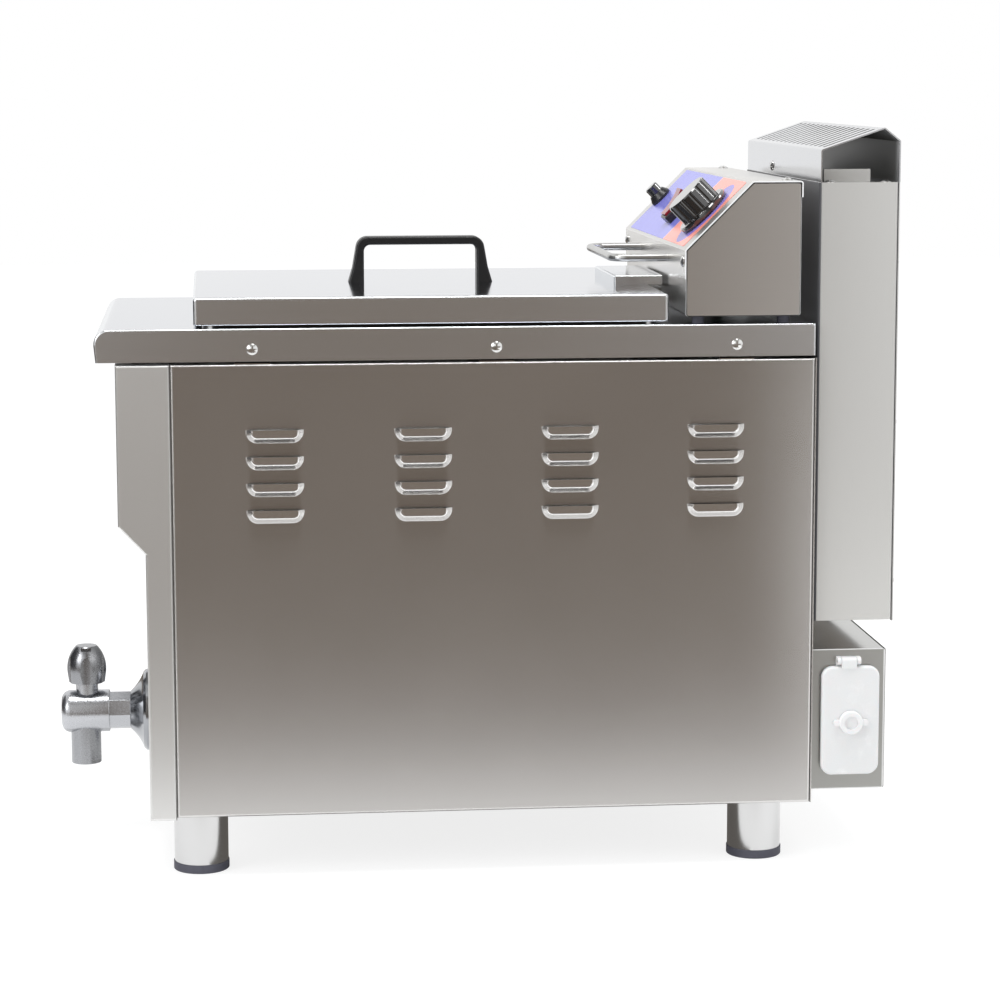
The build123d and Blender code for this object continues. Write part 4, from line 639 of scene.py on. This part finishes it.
# white floor and room, and dark cards out of the picture that give the steel something to reflect
stageLook = {
    "floorSize": 14.0, "floorGlow": 0.80, "floorTone": 0.30, "plainTone": 0.8, "roomTint": (0.97, 0.985, 1),
    "roomGlow": 0.80, "thin": 0.001,
}
cardTone = (0.19, 0.157, 0.130)
cardAt, roomHalf, paleFrom = 2.75, 6.0, 0.44
tableWide, tableDeep = 0.42, 0.95
cardLooks = {
    "cardBehindCamera": ((cardAt, -0.6, 0), (cardAt, 0.86, 6.0), cardTone),
    "roomFloorRight": ((tableWide, -roomHalf, 0.001), (roomHalf, paleFrom, 0.002), cardTone),
    "roomFloorCorner": ((1.20, paleFrom, 0.001), (roomHalf, roomHalf, 0.002), cardTone),
    "shadeUnderCabinet": ((-0.15, -0.19, 0.001), (0.16, 0.20, 0.002), (0.14, 0.13, 0.12)),
    "paleFloorCorner": ((0.60, 0.38, 0.003), (1.08, 0.75, 0.004), (1.6, 1.6, 1.58)),
    "cardInFront": ((-1.5, -1.6, 0.003), (0.7, -1.599, 1.5), (0.07, 0.07, 0.075)),
    "ceiling": ((-1.0, -2.0, 3.0), (cardAt, 2.0, 3.001), (0.30, 0.29, 0.28)),
    "roomFloorLeft": ((-roomHalf, -roomHalf, 0.001), (-tableWide, roomHalf, 0.002), cardTone),
    "roomFloorFront": ((-tableWide, -roomHalf, 0.001), (tableWide, -tableDeep, 0.002), cardTone),
    "roomFloorRear": ((-tableWide, tableDeep, 0.001), (tableWide, roomHalf, 0.002), cardTone),
}
lampLooks = {
    "topSoftbox": {"place": (0.5, -0.1, 2.35), "aim": (0.1, 0, 0.2), "size": (1.6, 0.6), "power": 24},
    "frontSoftbox": {"place": (1.4, -2.2, 1.5), "aim": (0, 0, 0.3), "size": (1.2, 1.2), "power": 20},
    "rearStrip": {"place": (0.0, 2.0, 1.6), "aim": (0.1, 0.2, 0.48), "size": (0.5, 0.5), "power": 11},
}


def shownTo(wire):
    seen = wire.node("ShaderNodeLightPath", out="Is Camera Ray")
    path = seen.socket.node
    glossy = Wire(wire.tree, path.outputs["Is Glossy Ray"])
    through = Wire(wire.tree, path.outputs["Is Transmission Ray"])
    return (seen + glossy + through).clamp()


def plainGrey(tone):
    return (tone, tone, tone, 1)


def addFloor():
    look = stageLook
    bpy.ops.object.select_all(action="DESELECT")
    bpy.ops.mesh.primitive_plane_add(size=look["floorSize"], location=(0, 0, 0))
    floor = bpy.context.active_object
    floor.name = "floor"
    material = bpy.data.materials.new("paleFloor")
    tree = emptyTree(material)
    wire = Wire(tree)
    glow = wire.node("ShaderNodeEmission", None, {"Color": plainGrey(1), "Strength": look["floorGlow"]})
    soft = wire.node("ShaderNodeBsdfDiffuse", None, {"Color": plainGrey(look["floorTone"])})
    lit = wire.node("ShaderNodeAddShader", None, {0: glow, 1: soft})
    plain = wire.node("ShaderNodeBsdfDiffuse", None, {"Color": plainGrey(look["plainTone"])})
    output = tree.nodes.new("ShaderNodeOutputMaterial")
    mixed = wire.node("ShaderNodeMixShader", None, {0: shownTo(wire), 1: plain, 2: lit})
    tree.links.new(mixed.socket, output.inputs[0])
    dress(floor, material)


def cardCloth(name, tone):
    material = bpy.data.materials.new(name)
    tree = emptyTree(material)
    glow = Wire(tree).node("ShaderNodeEmission", None, {"Color": (*tone, 1), "Strength": 1.0})
    output = tree.nodes.new("ShaderNodeOutputMaterial")
    tree.links.new(glow.socket, output.inputs[0])
    return material


def addCard(name, low, high, tone):
    middle = [(a + b) / 2 for a, b in zip(low, high)]
    bpy.ops.object.select_all(action="DESELECT")
    bpy.ops.mesh.primitive_cube_add(size=1, location=middle)
    card = bpy.context.active_object
    card.name = name
    card.scale = [max(b - a, stageLook["thin"]) for a, b in zip(low, high)]
    bpy.ops.object.transform_apply(location=True, rotation=True, scale=True)
    dress(card, cardCloth(name + "Cloth", tone))
    card.visible_camera = False
    card.visible_shadow = False
    card.visible_diffuse = False


def addWorld():
    world = bpy.data.worlds.new("studio")
    bpy.context.scene.world = world
    tree = emptyTree(world)
    wire = Wire(tree)
    room = wire.node("ShaderNodeBackground", None,
                     {"Color": (*stageLook["roomTint"], 1), "Strength": stageLook["roomGlow"]})
    white = wire.node("ShaderNodeBackground", None, {"Color": plainGrey(1), "Strength": 1.0})
    output = tree.nodes.new("ShaderNodeOutputWorld")
    mixed = wire.node("ShaderNodeMixShader", None, {0: shownTo(wire), 1: room, 2: white})
    tree.links.new(mixed.socket, output.inputs[0])


def addLamp(name, look):
    lamp = bpy.data.lights.new(name, "AREA")
    lamp.shape = "RECTANGLE"
    lamp.size, lamp.size_y = look["size"]
    lamp.energy = look["power"]
    holder = bpy.data.objects.new(name, lamp)
    bpy.context.scene.collection.objects.link(holder)
    holder.location = look["place"]
    holder.rotation_mode = "QUATERNION"
    holder.rotation_quaternion = (Vector(look["aim"]) - Vector(look["place"])).to_track_quat("-Z", "Y")


addFloor()
addWorld()
for name, look in cardLooks.items():
    addCard(name, *look)
for name, look in lampLooks.items():
    addLamp(name, look)
print("stage set")

# camera fitted to the photograph's viewing angle
cameraLook = {
    "place": (2.3135, -0.1942, 0.5954), "aim": (-0.98505, 0.09589, -0.14315), "roll": -0.1, "lens": 106.82,
    "sensor": 36, "near": 0.05, "far": 60,
}


def addCamera():
    look = cameraLook
    camera = bpy.data.cameras.new("photoCamera")
    camera.sensor_width = look["sensor"]
    camera.lens = look["lens"]
    camera.clip_start = look["near"]
    camera.clip_end = look["far"]
    holder = bpy.data.objects.new("photoCamera", camera)
    bpy.context.scene.collection.objects.link(holder)
    holder.location = look["place"]
    holder.rotation_mode = "QUATERNION"
    towards = Vector(look["aim"]).to_track_quat("-Z", "Y")
    roll = Matrix.Rotation(math.radians(look["roll"]), 3, "Z").to_quaternion()
    holder.rotation_quaternion = towards @ roll
    bpy.context.scene.camera = holder
    bpy.context.scene.view_settings.view_transform = "Standard"


addCamera()
print("camera set")
